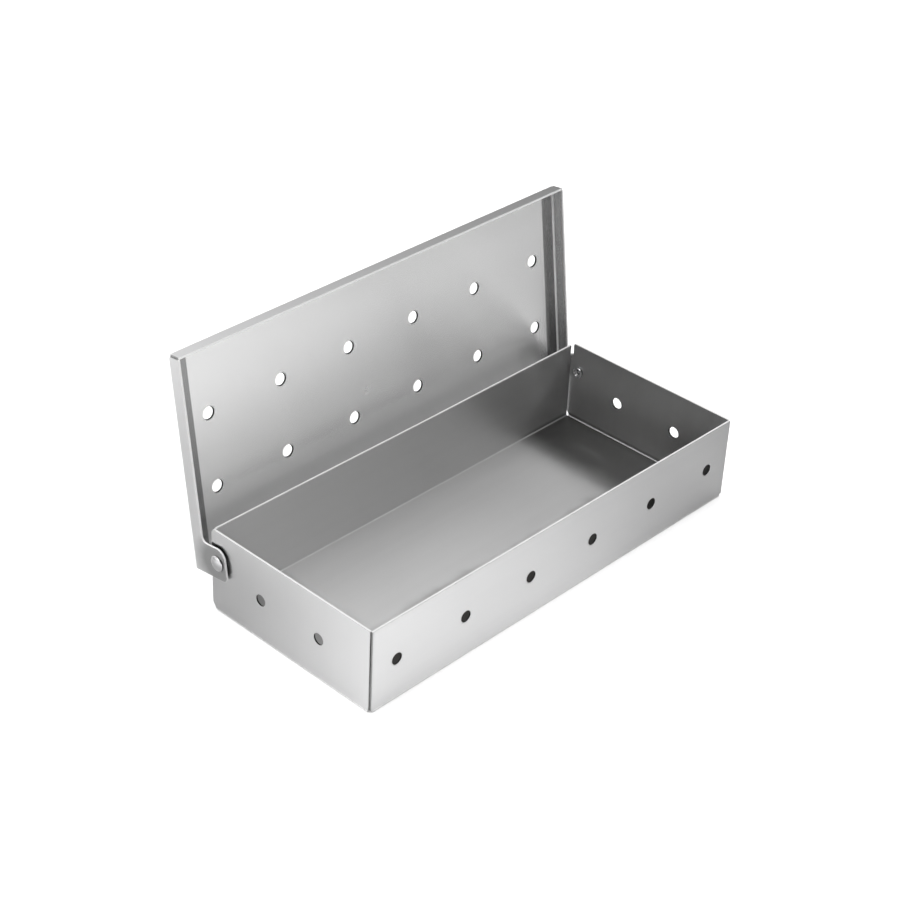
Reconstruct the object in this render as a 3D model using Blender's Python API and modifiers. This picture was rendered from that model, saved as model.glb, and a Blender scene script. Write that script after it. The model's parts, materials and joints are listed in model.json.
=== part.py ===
"""Grill smoker box: a tray folded from sheet steel, and a vented lid that swings on two rivets.

Metres, +Z up. The origin is the middle of the tray's underside, +X runs along the tray's length
and +Y points at its hinged back. The lid stands open, as it is used while the tray is filled.
"""

import math

import bmesh
import bpy
from mathutils import Matrix, Vector

# Sheet and its folds
SHEET = 0.0009
BEND_RADIUS = 0.0004          # inner radius of every fold
FOLD_RELIEF = 0.0002          # from the round of one fold to the end of the fold beside it
FRONT_LAP = 0.0005            # from a front corner to the end of the front wall or front flange
SIDE_LAP = 0.00095            # to the front end of an end wall or side flange, just behind it
FOLD_STEPS = 3
ARC_STEPS = 5
WELD_DISTANCE = 0.00001

# Tray
TRAY_LENGTH = 0.220
TRAY_DEPTH = 0.092
TRAY_HEIGHT = 0.040
FRONT_CORNER_RADIUS = 0.0003  # upper corners of the walls in front
REAR_CORNER_RADIUS = 0.0010   # upper corners of the back wall
HEEL_HEIGHT = 0.0036          # top of the slope at the foot of an end wall's rear edge
SLOT_IN_BACK = 0.0021         # slot at the right rear corner, measured from the outer faces
SLOT_IN_SIDE = 0.0015
SLOT_DEPTH = 0.0058

# Hinge axis
HINGE_INSET = 0.0055          # forward of the tray's back face
HINGE_DROP = 0.0136           # below the tray's rim
SWING_GAP = 0.0003            # between the turning lid and the tray's rear rim
REST_OPENING = math.radians(97.8)

# Lid
LID_LIFT = 0.0008             # inside of the level lid above the rim, at the hinge
LID_SIDE_GAP = 0.0010
LID_FRONT_GAP = 0.0011
FLANGE_DEPTH = 0.0070
FLANGE_CORNER_RADIUS = 0.0004
EAR_FRONT = 0.0069            # reach of the ears round the hinge axis
EAR_REAR = 0.0075
EAR_DROP = 0.0049
EAR_FRONT_RADIUS = 0.0046
EAR_REAR_RADIUS = 0.0022
EAR_FILLET = 0.0025

# Vents
VENT_DIAMETER = 0.0052
VENT_EDGE = 0.0130            # least distance from a vent's centre to the end of its row
LONG_VENT_PITCH = 0.0384
END_VENT_PITCH = 0.0335
LID_ROW_PITCH = 0.0330
LID_ROW_SHIFT = 0.0003        # of both rows in the lid, towards the hinge
VENT_STEPS = 24
CUT_OVERRUN = 0.0010

# Rivets and the washers between ear and wall
SEAT_GAP = 0.0003
SHANK_RADIUS = 0.00205
BORE_CLEARANCE = 0.00008      # round a rivet's shank
HEAD_RADIUS = 0.0035
HEAD_HEIGHT = 0.0010
HEAD_EDGE = 0.0003            # height of the head at its rim, under the dome
DOME_STEPS = 6
TAIL_RADIUS = 0.0027
TAIL_HEIGHT = 0.0011
TAIL_EDGE_RADIUS = 0.0005
WASHER_RADIUS = 0.0040
TURN_STEPS = 24

# Sizes that follow from the ones above
FOLD_RADIUS = SHEET + BEND_RADIUS
CORNER_INSET = FOLD_RADIUS + FOLD_RELIEF
HALF_LENGTH = TRAY_LENGTH / 2
HALF_DEPTH = TRAY_DEPTH / 2
HINGE_Y = HALF_DEPTH - HINGE_INSET
HINGE_Z = TRAY_HEIGHT - HINGE_DROP
LID_INNER = HINGE_DROP + LID_LIFT
LID_OUTER = LID_INNER + SHEET
LID_HALF_LENGTH = HALF_LENGTH + LID_SIDE_GAP + SHEET
LID_FRONT = -(HALF_DEPTH + HINGE_Y + LID_FRONT_GAP + SHEET)
SWEEP_RADIUS = LID_INNER - SWING_GAP
BORE_RADIUS = SHANK_RADIUS + BORE_CLEARANCE

STEEL = (0.60, 0.60, 0.61, 1.0)
RIVET_STEEL = (0.66, 0.66, 0.67, 1.0)


def back_rim_height():
    """Height at which the back wall's outer edge just stays inside the lid's sweep."""
    return HINGE_Z + math.sqrt(SWEEP_RADIUS ** 2 - HINGE_INSET ** 2)


def sweep_corner_radius():
    """Rounding that keeps the rear upper corner of an end wall inside the lid's sweep."""
    half_slope = HINGE_INSET + HINGE_DROP - SWEEP_RADIUS
    remainder = HINGE_INSET ** 2 + HINGE_DROP ** 2 - SWEEP_RADIUS ** 2
    return half_slope - math.sqrt(half_slope ** 2 - remainder)


def rounded(corners):
    """Outline from (u, v, radius) corners, each with its radius turned into an arc."""
    outline = []
    for index, (u, v, radius) in enumerate(corners):
        corner = Vector((u, v))
        if radius == 0:
            outline.append(corner)
            continue
        before = (Vector(corners[index - 1][:2]) - corner).normalized()
        after = (Vector(corners[(index + 1) % len(corners)][:2]) - corner).normalized()
        half_angle = before.angle(after) / 2
        centre = corner + (before + after).normalized() * radius / math.sin(half_angle)
        first = corner + before * radius / math.tan(half_angle) - centre
        turn = math.copysign(math.pi - 2 * half_angle, after.cross(before))
        for step in range(ARC_STEPS + 1):
            outline.append(centre + Matrix.Rotation(turn * step / ARC_STEPS, 2) @ first)
    return outline


def mirrored(outline):
    """The outline on the other side of u = 0, still run anticlockwise."""
    return [Vector((-point.x, point.y)) for point in reversed(outline)]


def notched_plate(half_length, front, rear, rear_inset):
    """Outline of a plate notched at its corners, where the folds beside them end."""
    side = [
        Vector((half_length - CORNER_INSET, front)),
        Vector((half_length - CORNER_INSET, front + CORNER_INSET)),
        Vector((half_length, front + CORNER_INSET)),
    ]
    side.append(Vector((half_length, rear - rear_inset)))
    if rear_inset > 0:
        side.append(Vector((half_length - rear_inset, rear - rear_inset)))
        side.append(Vector((half_length - rear_inset, rear)))
    return side + mirrored(side)


def plane(origin, u_axis, v_axis):
    """Frame that lays an outline in space, facing along the cross product of its axes."""
    u_direction = Vector(u_axis)
    v_direction = Vector(v_axis)
    frame = Matrix((u_direction, v_direction, u_direction.cross(v_direction)))
    frame = frame.transposed().to_4x4()
    frame.translation = origin
    return frame


def steel(name, colour, roughness):
    """Bare metal."""
    material = bpy.data.materials.new(name)
    material.use_nodes = True
    shader = material.node_tree.nodes["Principled BSDF"]
    shader.inputs["Base Color"].default_value = colour
    shader.inputs["Metallic"].default_value = 1.0
    shader.inputs["Roughness"].default_value = roughness
    return material


def place(name, mesh, material, collection):
    """New object in its collection."""
    piece = bpy.data.objects.new(name, mesh)
    collection.objects.link(piece)
    if material:
        mesh.materials.append(material)
    return piece


def folded_sheet(name, panels, material, collection):
    """Sheet metal from flat (outline, frame) panels that share their fold lines."""
    shape = bmesh.new()
    for outline, frame in panels:
        shape.faces.new([shape.verts.new(frame @ point.to_3d()) for point in outline])
    bmesh.ops.remove_doubles(shape, verts=shape.verts, dist=WELD_DISTANCE)
    mesh = bpy.data.meshes.new(name)
    shape.to_mesh(mesh)
    shape.free()
    sheet = place(name, mesh, material, collection)
    folds = sheet.modifiers.new("Folds", "BEVEL")
    folds.width = FOLD_RADIUS
    folds.segments = FOLD_STEPS
    folds.limit_method = "ANGLE"
    thickness = sheet.modifiers.new("Thickness", "SOLIDIFY")
    thickness.thickness = SHEET
    thickness.offset = -1.0
    thickness.use_even_offset = True
    return sheet


def row_places(span, pitch):
    """Places along a centred row with as many vents as the span has room for."""
    count = int((span - 2 * VENT_EDGE) / pitch) + 1
    return [pitch * (index - (count - 1) / 2) for index in range(count)]


def drill(cutter, radius, length, centre, direction, steps):
    """Round cutter of the given length about its centre."""
    turn = Vector((0, 0, 1)).rotation_difference(Vector(direction)).to_matrix().to_4x4()
    bmesh.ops.create_cone(
        cutter,
        cap_ends=True,
        segments=steps,
        radius1=radius,
        radius2=radius,
        depth=length,
        matrix=Matrix.Translation(centre) @ turn,
    )


def cut(piece, cutter, cutters):
    """Takes the cutter's shape out of the piece, in the piece's own frame."""
    mesh = bpy.data.meshes.new(f"{piece.name} cutter")
    cutter.to_mesh(mesh)
    cutter.free()
    tool = place(f"{piece.name} cutter", mesh, None, cutters)
    tool.parent = piece
    tool.hide_render = True
    tool.display_type = "WIRE"
    holes = piece.modifiers.new("Holes", "BOOLEAN")
    holes.operation = "DIFFERENCE"
    holes.solver = "EXACT"
    holes.object = tool


def front_wall():
    """Front wall seen from outside, closing on both corners above its fold."""
    fold_end = HALF_LENGTH - CORNER_INSET
    end = HALF_LENGTH - FRONT_LAP
    return rounded([
        (-fold_end, 0, 0),
        (fold_end, 0, 0),
        (fold_end, CORNER_INSET, 0),
        (end, CORNER_INSET, 0),
        (end, TRAY_HEIGHT, FRONT_CORNER_RADIUS),
        (-end, TRAY_HEIGHT, FRONT_CORNER_RADIUS),
        (-end, CORNER_INSET, 0),
        (-fold_end, CORNER_INSET, 0),
    ])


def back_wall():
    """Back wall seen from outside, its rim inside the lid's sweep."""
    end = HALF_LENGTH - CORNER_INSET
    return rounded([
        (-end, 0, 0),
        (end, 0, 0),
        (end, back_rim_height(), REAR_CORNER_RADIUS),
        (-end, back_rim_height(), REAR_CORNER_RADIUS),
    ])


def end_wall():
    """Right end wall seen from outside, its rear edge flush with the tray's back."""
    fold_end = HALF_DEPTH - CORNER_INSET
    front_end = HALF_DEPTH - SIDE_LAP
    return rounded([
        (-fold_end, 0, 0),
        (fold_end, 0, 0),
        (fold_end, CORNER_INSET, 0),
        (HALF_DEPTH, HEEL_HEIGHT, 0),
        (HALF_DEPTH, TRAY_HEIGHT, sweep_corner_radius()),
        (-front_end, TRAY_HEIGHT, FRONT_CORNER_RADIUS),
        (-front_end, CORNER_INSET, 0),
        (-fold_end, CORNER_INSET, 0),
    ])


def rear_slot(cutter):
    """Slot down from the rim at the tray's right rear corner."""
    size = Vector((SLOT_IN_BACK, SLOT_IN_SIDE, SLOT_DEPTH))
    size += Vector((CUT_OVERRUN, CUT_OVERRUN, CUT_OVERRUN))
    outer_corner = Vector((HALF_LENGTH, HALF_DEPTH, TRAY_HEIGHT))
    outer_corner += Vector((CUT_OVERRUN, CUT_OVERRUN, CUT_OVERRUN))
    centre = outer_corner - size / 2
    bmesh.ops.create_cube(cutter, size=1, matrix=Matrix.LocRotScale(centre, None, size))


def make_tray(material, parts, cutters):
    """Floor and four walls folded from one sheet, vented in front and at both ends."""
    floor = notched_plate(HALF_LENGTH, -HALF_DEPTH, HALF_DEPTH, CORNER_INSET)
    panels = [
        (floor, plane((0, 0, 0), (1, 0, 0), (0, -1, 0))),
        (front_wall(), plane((0, -HALF_DEPTH, 0), (1, 0, 0), (0, 0, 1))),
        (back_wall(), plane((0, HALF_DEPTH, 0), (-1, 0, 0), (0, 0, 1))),
        (end_wall(), plane((HALF_LENGTH, 0, 0), (0, 1, 0), (0, 0, 1))),
        (mirrored(end_wall()), plane((-HALF_LENGTH, 0, 0), (0, -1, 0), (0, 0, 1))),
    ]
    tray = folded_sheet("tray", panels, material, parts)

    cutter = bmesh.new()
    vent_z = TRAY_HEIGHT / 2
    front_y = -HALF_DEPTH + SHEET / 2
    through_sheet = SHEET + 2 * CUT_OVERRUN
    through_tray = TRAY_LENGTH + 2 * CUT_OVERRUN
    for x in row_places(TRAY_LENGTH, LONG_VENT_PITCH):
        drill(cutter, VENT_DIAMETER / 2, through_sheet, (x, front_y, vent_z), (0, 1, 0), VENT_STEPS)
    for y in row_places(TRAY_DEPTH, END_VENT_PITCH):
        drill(cutter, VENT_DIAMETER / 2, through_tray, (0, y, vent_z), (1, 0, 0), VENT_STEPS)
    drill(cutter, BORE_RADIUS, through_tray, (0, HINGE_Y, HINGE_Z), (1, 0, 0), TURN_STEPS)
    rear_slot(cutter)
    cut(tray, cutter, cutters)


def front_flange():
    """Flange along the lid's front seen from outside, closing on both corners past its fold."""
    fold_end = LID_HALF_LENGTH - CORNER_INSET
    end = LID_HALF_LENGTH - FRONT_LAP
    low = LID_OUTER - FLANGE_DEPTH
    past_fold = LID_OUTER - CORNER_INSET
    return rounded([
        (-end, low, FLANGE_CORNER_RADIUS),
        (end, low, FLANGE_CORNER_RADIUS),
        (end, past_fold, 0),
        (fold_end, past_fold, 0),
        (fold_end, LID_OUTER, 0),
        (-fold_end, LID_OUTER, 0),
        (-fold_end, past_fold, 0),
        (-end, past_fold, 0),
    ])


def side_flange():
    """Right flange of the lid with its hinge ear, seen from outside."""
    fold_front = LID_FRONT + CORNER_INSET
    front = LID_FRONT + SIDE_LAP
    low = LID_OUTER - FLANGE_DEPTH
    past_fold = LID_OUTER - CORNER_INSET
    return rounded([
        (front, low, FLANGE_CORNER_RADIUS),
        (-EAR_FRONT, low, EAR_FILLET),
        (-EAR_FRONT, -EAR_DROP, EAR_FRONT_RADIUS),
        (EAR_REAR, -EAR_DROP, EAR_REAR_RADIUS),
        (EAR_REAR, LID_OUTER, 0),
        (fold_front, LID_OUTER, 0),
        (fold_front, past_fold, 0),
        (front, past_fold, 0),
    ])


def make_lid(material, parts, cutters):
    """Vented plate with three flanges, made level about the hinge axis and then opened."""
    plate = notched_plate(LID_HALF_LENGTH, LID_FRONT, EAR_REAR, 0)
    panels = [
        (plate, plane((0, 0, LID_OUTER), (1, 0, 0), (0, 1, 0))),
        (front_flange(), plane((0, LID_FRONT, 0), (1, 0, 0), (0, 0, 1))),
        (side_flange(), plane((LID_HALF_LENGTH, 0, 0), (0, 1, 0), (0, 0, 1))),
        (mirrored(side_flange()), plane((-LID_HALF_LENGTH, 0, 0), (0, -1, 0), (0, 0, 1))),
    ]
    lid = folded_sheet("lid", panels, material, parts)
    lid.location = (0, HINGE_Y, HINGE_Z)
    lid.rotation_euler.x = -REST_OPENING

    cutter = bmesh.new()
    vent_z = LID_OUTER - SHEET / 2
    through_sheet = SHEET + 2 * CUT_OVERRUN
    for row_side in (-1, 1):
        y = LID_ROW_SHIFT - HINGE_Y + row_side * LID_ROW_PITCH / 2
        for x in row_places(TRAY_LENGTH, LONG_VENT_PITCH):
            drill(cutter, VENT_DIAMETER / 2, through_sheet, (x, y, vent_z), (0, 0, 1), VENT_STEPS)
    through_lid = 2 * (LID_HALF_LENGTH + CUT_OVERRUN)
    drill(cutter, BORE_RADIUS, through_lid, (0, 0, 0), (1, 0, 0), TURN_STEPS)
    cut(lid, cutter, cutters)


def turned(name, profile, closed, side, material, parts):
    """Turned piece on the hinge axis; its profile's heights run outward from the end wall."""
    shape = bmesh.new()
    points = [shape.verts.new((point.x, 0, point.y)) for point in profile]
    for first, second in zip(points, points[1:]):
        shape.edges.new((first, second))
    if closed:
        shape.edges.new((points[-1], points[0]))
    mesh = bpy.data.meshes.new(name)
    shape.to_mesh(mesh)
    shape.free()
    piece = place(name, mesh, material, parts)
    screw = piece.modifiers.new("Turning", "SCREW")
    screw.axis = "Z"
    screw.steps = TURN_STEPS
    screw.render_steps = TURN_STEPS
    screw.use_merge_vertices = True
    screw.merge_threshold = WELD_DISTANCE
    piece.location = (side * HALF_LENGTH, HINGE_Y, HINGE_Z)
    piece.rotation_euler.y = side * math.pi / 2


def dome(base):
    """Quarter ellipse from the middle of a rivet's head out to its rim."""
    height = HEAD_HEIGHT - HEAD_EDGE
    angles = [math.pi / 2 * step / DOME_STEPS for step in range(DOME_STEPS + 1)]
    return [
        (HEAD_RADIUS * math.sin(angle), base + HEAD_EDGE + height * math.cos(angle), 0)
        for angle in angles
    ]


def rivet_profile():
    """Domed head outside the lid's ear, shank, and set tail inside the tray's wall."""
    head_base = LID_SIDE_GAP + SHEET + SEAT_GAP
    tail_top = -SHEET - SEAT_GAP
    tail_base = tail_top - TAIL_HEIGHT
    return rounded([
        *dome(head_base),
        (HEAD_RADIUS, head_base, 0),
        (SHANK_RADIUS, head_base, 0),
        (SHANK_RADIUS, tail_top, 0),
        (TAIL_RADIUS, tail_top, 0),
        (TAIL_RADIUS, tail_base, TAIL_EDGE_RADIUS),
        (0, tail_base, 0),
    ])


def washer_profile():
    """Flat ring that fills the gap between ear and wall but for its seat gaps."""
    low = SEAT_GAP
    high = LID_SIDE_GAP - SEAT_GAP
    return rounded([
        (WASHER_RADIUS, high, 0),
        (WASHER_RADIUS, low, 0),
        (BORE_RADIUS, low, 0),
        (BORE_RADIUS, high, 0),
    ])


def main():
    """Clears the scene and builds every piece."""
    for existing in list(bpy.data.objects):
        bpy.data.objects.remove(existing, do_unlink=True)
    parts = bpy.data.collections.new("Grill smoker box")
    cutters = bpy.data.collections.new("Cutters")
    for collection in (parts, cutters):
        bpy.context.scene.collection.children.link(collection)

    make_tray(steel("Tray steel", STEEL, 0.34), parts, cutters)
    make_lid(steel("Lid steel", STEEL, 0.32), parts, cutters)
    for side, side_name in ((-1, "left"), (1, "right")):
        rivet_steel = steel(f"{side_name.capitalize()} rivet steel", RIVET_STEEL, 0.25)
        turned(f"hinge_rivet_{side_name}", rivet_profile(), False, side, rivet_steel, parts)
        washer_steel = steel(f"{side_name.capitalize()} spacer steel", RIVET_STEEL, 0.40)
        turned(f"hinge_spacer_{side_name}", washer_profile(), True, side, washer_steel, parts)


main()
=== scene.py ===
"""Looks of the grill smoker box: its folded sheets, rivets and washers, and a white studio.

Metres, +Z up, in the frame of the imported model: the origin is the middle of the tray's underside,
+X runs along the tray and +Y points at its hinged back. Every new piece is a surface worked out as
whole arrays. The folded sheets are laid out as flat blanks, and each panel is carried round its
fold; the turned pieces are profiles carried round the hinge axis.
"""
import json
import logging
import math
from collections.abc import Callable
from dataclasses import dataclass, field
from enum import Enum

import bmesh
import bpy
import numpy as np
from mathutils import Matrix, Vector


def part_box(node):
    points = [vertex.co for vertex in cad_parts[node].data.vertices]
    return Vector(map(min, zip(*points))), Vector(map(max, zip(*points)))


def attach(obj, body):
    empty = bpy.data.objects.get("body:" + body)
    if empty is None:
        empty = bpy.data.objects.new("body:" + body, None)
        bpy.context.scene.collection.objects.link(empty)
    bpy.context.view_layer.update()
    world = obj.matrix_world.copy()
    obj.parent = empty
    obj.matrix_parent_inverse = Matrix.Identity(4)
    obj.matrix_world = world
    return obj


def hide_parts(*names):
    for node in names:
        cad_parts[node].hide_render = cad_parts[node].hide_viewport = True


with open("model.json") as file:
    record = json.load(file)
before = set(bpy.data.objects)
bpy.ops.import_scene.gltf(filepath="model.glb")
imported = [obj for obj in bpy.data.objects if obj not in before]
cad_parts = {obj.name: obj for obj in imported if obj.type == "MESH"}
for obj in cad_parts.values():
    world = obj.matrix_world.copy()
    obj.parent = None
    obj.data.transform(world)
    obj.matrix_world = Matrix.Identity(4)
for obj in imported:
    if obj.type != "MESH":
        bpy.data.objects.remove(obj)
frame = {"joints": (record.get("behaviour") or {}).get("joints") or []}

LOG = logging.getLogger("smoker_box")
MM = 0.001
WELD_DISTANCE = 1e-6
Array = np.ndarray


class Side(Enum):
    """The two ends of the box, by the sign of X."""

    LEFT = -1
    RIGHT = 1

    @property
    def word(self) -> str:
        """The side's name in lower case, as the nodes use it."""
        return self.name.lower()


class Body(Enum):
    """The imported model's two rigid bodies."""

    BASE = "base"
    COVER = "cover"


@dataclass(frozen=True)
class SheetSizes:
    """Sizes that the tray and the lid share, in metres."""

    thickness: float = 0.9 * MM
    inner_bend: float = 0.4 * MM
    relief: float = 0.2 * MM
    front_lap: float = 0.5 * MM
    side_lap: float = 0.95 * MM
    front_corner: float = 0.3 * MM
    flange_corner: float = 0.4 * MM
    rear_corner: float = 1.0 * MM
    cut_round: float = 0.11 * MM
    torn_share: float = 0.6

    @property
    def bend(self) -> float:
        """Outer radius of a fold."""
        return self.thickness + self.inner_bend

    @property
    def inset(self) -> float:
        """From a panel's outer corner to the end of its folds."""
        return self.bend + self.relief


@dataclass(frozen=True)
class VentSizes:
    """Sizes of the punched vents and of their rows, in metres."""

    radius: float = 2.6 * MM
    cell: float = 11.0 * MM
    long_pitch: float = 38.4 * MM
    long_count: int = 6
    end_pitch: float = 33.5 * MM
    end_count: int = 2
    lid_row_pitch: float = 33.0 * MM
    lid_row_shift: float = 0.3 * MM
    rollover_depth: float = 0.10 * MM
    rollover_width: float = 0.55 * MM

    def row(self, pitch: float, count: int) -> Array:
        """Places of a centred row: equal steps of one pitch about zero."""
        return pitch * (np.arange(count) - (count - 1) / 2)


@dataclass(frozen=True)
class HingeSizes:
    """Sizes round the hinge axis, in metres."""

    bore: float = 2.13 * MM
    bore_cell: float = 5.4 * MM
    washer: float = 4.0 * MM
    side_gap: float = 1.0 * MM
    seat_gap: float = 0.3 * MM
    rest_opening: float = math.radians(97.8)


SHEET = SheetSizes()
VENTS = VentSizes()
HINGE = HingeSizes()


@dataclass(frozen=True)
class Hole:
    """A round hole in a panel, with the square cell of the grid that is drawn round it."""

    u: float
    v: float
    radius: float
    cell: float

    def gap(self, u: Array, v: Array) -> Array:
        """Distance from the hole's edge: the distance from its centre less its radius."""
        return np.hypot(u - self.u, v - self.v) - self.radius


@dataclass
class Patch:
    """One stretch of outer skin.

    Attributes:
        points: (n, 3) places in space.
        flat: (n, 2) places of the same points in the sheet's unfolded blank.
        faces: (m, 4) corners of each face.
        fold: (n,) 1 on a fold and 0 off it, where the finish paints a highlight along the fold.
        sheared: (n,) 1 where a cut edge is left as the shears or the punch tore it, which the finish paints
            near black as shade.
    """

    points: Array
    flat: Array
    faces: Array
    fold: Array
    sheared: Array


def smooth(share: Array) -> Array:
    """Smooth step: a cubic that leaves 0 and reaches 1 with no slope, flat outside them."""
    share = np.clip(share, 0, 1)
    return share * share * (3 - 2 * share)


def lines(low: float, high: float, marks: list[float], cells: list[tuple[float, float]],
          step: float, cell_step: float) -> Array:
    """Grid lines from low to high that pass through every mark and every cell's sides.

    Args:
        low: First line.
        high: Last line.
        marks: Single lines that have to be there.
        cells: (centre, width) of the stretches round holes, which get the finer step.
        step: Widest spacing outside the cells.
        cell_step: Widest spacing inside them.

    Returns:
        The lines in rising order: each stretch between two of the fixed lines is cut evenly.
    """
    sides = [centre + half for centre, width in cells for half in (-width / 2, width / 2)]
    fixed = np.unique(np.round([low, high, *marks, *sides], 9))
    fixed = fixed[(fixed >= low - WELD_DISTANCE) & (fixed <= high + WELD_DISTANCE)]
    stretches = []
    for start, end in zip(fixed[:-1], fixed[1:]):
        middle = (start + end) / 2
        in_cell = any(abs(middle - centre) < width / 2 for centre, width in cells)
        count = max(1, math.ceil((end - start) / (cell_step if in_cell else step) - 1e-6))
        stretches.append(np.linspace(start, end, count + 1)[:-1])
    return np.append(np.concatenate(stretches), fixed[-1])


def end_marks(end: float, sign: int) -> list[float]:
    """Lines close behind a free edge, where its corners are rounded and its finish changes.

    Args:
        end: Place of the edge.
        sign: 1 where the panel lies below it, -1 where it lies above.

    Returns:
        Places at set distances inside the edge.
    """
    return [end - sign * distance * MM for distance in (0.15, 0.3, 0.6, 1.0, 1.6, 2.6)]


def round_corner(across: Array, along: Array, radius: float) -> tuple[Array, Array]:
    """Draws a square corner in to a round one.

    Each edge's first stretch, one radius long, is carried onto half of the arc: a point at
    distance p goes to the angle 45 degrees times (1 - p / radius) round it. Inside, the two edges'
    shifts fade out over 2.5 radii and are blended as a Coons patch, less the corner's own shift.

    Args:
        across: Distance of each point from the first edge.
        along: Distance from the second edge.
        radius: Radius of the arc.

    Returns:
        The new distances from both edges.
    """
    reach = 2.5 * radius

    def shift(distance: Array) -> tuple[Array, Array]:
        angle = math.pi / 4 * (1 - np.clip(distance / radius, 0, 1))
        drawn = np.where(distance < radius, radius * (1 - np.sin(angle)) - distance, 0)
        return drawn, radius * (1 - np.cos(angle))

    fade_along = np.clip(1 - along / reach, 0, 1)
    fade_across = np.clip(1 - across / reach, 0, 1)
    first_along_edge, first_off_edge = shift(across)
    second_along_edge, second_off_edge = shift(along)
    corner = radius * (1 - math.sqrt(0.5))
    both = fade_along * fade_across * corner
    new_across = across + fade_along * first_along_edge + fade_across * second_off_edge - both
    new_along = along + fade_along * first_off_edge + fade_across * second_along_edge - both
    return new_across, new_along


@dataclass
class Panel:
    """A flat stretch of a sheet on a grid of (u, v) lines, with round holes in it.

    Attributes:
        u: Grid lines of the first coordinate.
        v: Grid lines of the second.
        holes: Its round holes.
        punched: Whether the holes have the rolled-in edge that a punch leaves.
        shape: Takes (u, v) of the grid's points to the panel's real outline.
        keep: Says from face centres (u, v) which faces belong to the panel.
        bow: Gives the inward sag of the panel at (u, v).
        torn: Says at which points (u, v) the grid's free edge is left as the shears tore it.
    """

    u: Array
    v: Array
    holes: list[Hole] = field(default_factory=list)
    punched: bool = True
    shape: Callable[[Array, Array], tuple[Array, Array]] | None = None
    keep: Callable[[Array, Array], Array] | None = None
    bow: Callable[[Array, Array], Array] | None = None
    torn: Callable[[Array, Array], Array] | None = None

    def place(self, u: Array, v: Array, inward: Array) -> Array:
        """Puts points of the panel in space; each kind of panel has its own way."""
        raise NotImplementedError

    def unfold(self, u: Array, v: Array) -> Array:
        """Puts points of the panel in the unfolded blank."""
        raise NotImplementedError

    def outward(self) -> Array:
        """The direction that the panel's outer face points in."""
        raise NotImplementedError

    def fold_share(self, u: Array, v: Array) -> Array:
        """1 where a point lies on a fold or on its first line, and 0 elsewhere."""
        raise NotImplementedError

    def sag(self, u: Array, v: Array) -> Array:
        """Inward shift: the bow, and at each vent a lip that deepens squarely to its edge."""
        inward = np.zeros_like(u) if self.bow is None else self.bow(u, v)
        if self.punched:
            for hole in self.holes:
                near = np.clip(1 - hole.gap(u, v) / VENTS.rollover_width, 0, 1)
                inward = inward + VENTS.rollover_depth * near ** 2
        return inward

    def patch(self, u: Array, v: Array, faces: Array) -> Patch:
        """Places points, and turns the faces over where they would look inward.

        Args:
            u: First coordinate of each point.
            v: Second coordinate.
            faces: (m, 4) corners.

        Returns:
            The patch, with its faces pointing outward.
        """
        points = self.place(u, v, self.sag(u, v))
        corners = points[faces]
        normals = np.cross(corners[:, 2] - corners[:, 0], corners[:, 3] - corners[:, 1])
        if (normals @ self.outward()).sum() < 0:
            faces = faces[:, ::-1]
        fold = self.fold_share(u, v).astype(float)
        return Patch(points, self.unfold(u, v), faces, fold, np.zeros(len(points)))

    def grid(self) -> Patch:
        """The panel's grid without the cells round its holes and what keep leaves out."""
        u, v = np.meshgrid(self.u, self.v, indexing="ij")
        number = np.arange(u.size).reshape(u.shape)
        faces = np.stack([number[:-1, :-1], number[1:, :-1], number[1:, 1:], number[:-1, 1:]], -1)
        centre_u = (u[1:, 1:] + u[:-1, :-1]) / 2
        centre_v = (v[1:, 1:] + v[:-1, :-1]) / 2
        kept = np.ones(centre_u.shape, bool)
        for hole in self.holes:
            inside = np.maximum(abs(centre_u - hole.u), abs(centre_v - hole.v)) < hole.cell / 2
            kept &= ~inside
        if self.keep is not None:
            kept &= self.keep(centre_u, centre_v)
        faces = faces[kept]
        used, faces = np.unique(faces, return_inverse=True)
        u, v = u.ravel()[used], v.ravel()[used]
        if self.shape is not None:
            u, v = self.shape(u, v)
        patch = self.patch(u, v, faces.reshape(-1, 4))
        if self.torn is not None:
            patch.sheared = SHEET.torn_share * self.torn(u, v)
        return patch

    def ring(self, hole: Hole, loop: Array) -> Patch:
        """Rings between a closed loop of (u, v) points and a hole inside it.

        Each ring lies a set share of the way from the loop to the hole's circle, along the line
        through the hole's centre, and the shares close up towards the hole.

        Args:
            hole: The hole.
            loop: (n, 2) points, run anticlockwise.

        Returns:
            The patch between them.
        """
        centre = np.array([hole.u, hole.v])
        arm = loop - centre
        circle = centre + hole.radius * arm / np.linalg.norm(arm, axis=1, keepdims=True)
        share = np.array([0, 0.26, 0.48, 0.66, 0.79, 0.875, 0.94, 1])[:, None, None]
        points = (1 - share) * loop + share * circle
        number = np.arange(points.shape[0] * len(loop)).reshape(points.shape[0], len(loop))
        after = np.roll(number, -1, axis=1)
        faces = np.stack([number[:-1], after[:-1], after[1:], number[1:]], -1).reshape(-1, 4)
        patch = self.patch(points[..., 0].ravel(), points[..., 1].ravel(), faces)
        patch.sheared = np.full(len(patch.points), float(self.punched))
        return patch

    def cell_loop(self, hole: Hole) -> Array:
        """The grid's own points round a hole's cell, run anticlockwise."""
        half = hole.cell / 2 + WELD_DISTANCE
        u = self.u[abs(self.u - hole.u) <= half]
        v = self.v[abs(self.v - hole.v) <= half]
        low, right = np.full_like(u, v[0]), np.full_like(v, u[-1])
        high, left = np.full_like(u, v[-1]), np.full_like(v, u[0])
        return np.concatenate([
            np.stack([u, low], 1)[:-1],
            np.stack([right, v], 1)[:-1],
            np.stack([u[::-1], high], 1)[:-1],
            np.stack([left, v[::-1]], 1)[:-1],
        ])

    def patches(self) -> list[Patch]:
        """The grid and a ring for each hole."""
        return [self.grid()] + [self.ring(hole, self.cell_loop(hole)) for hole in self.holes]


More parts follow.
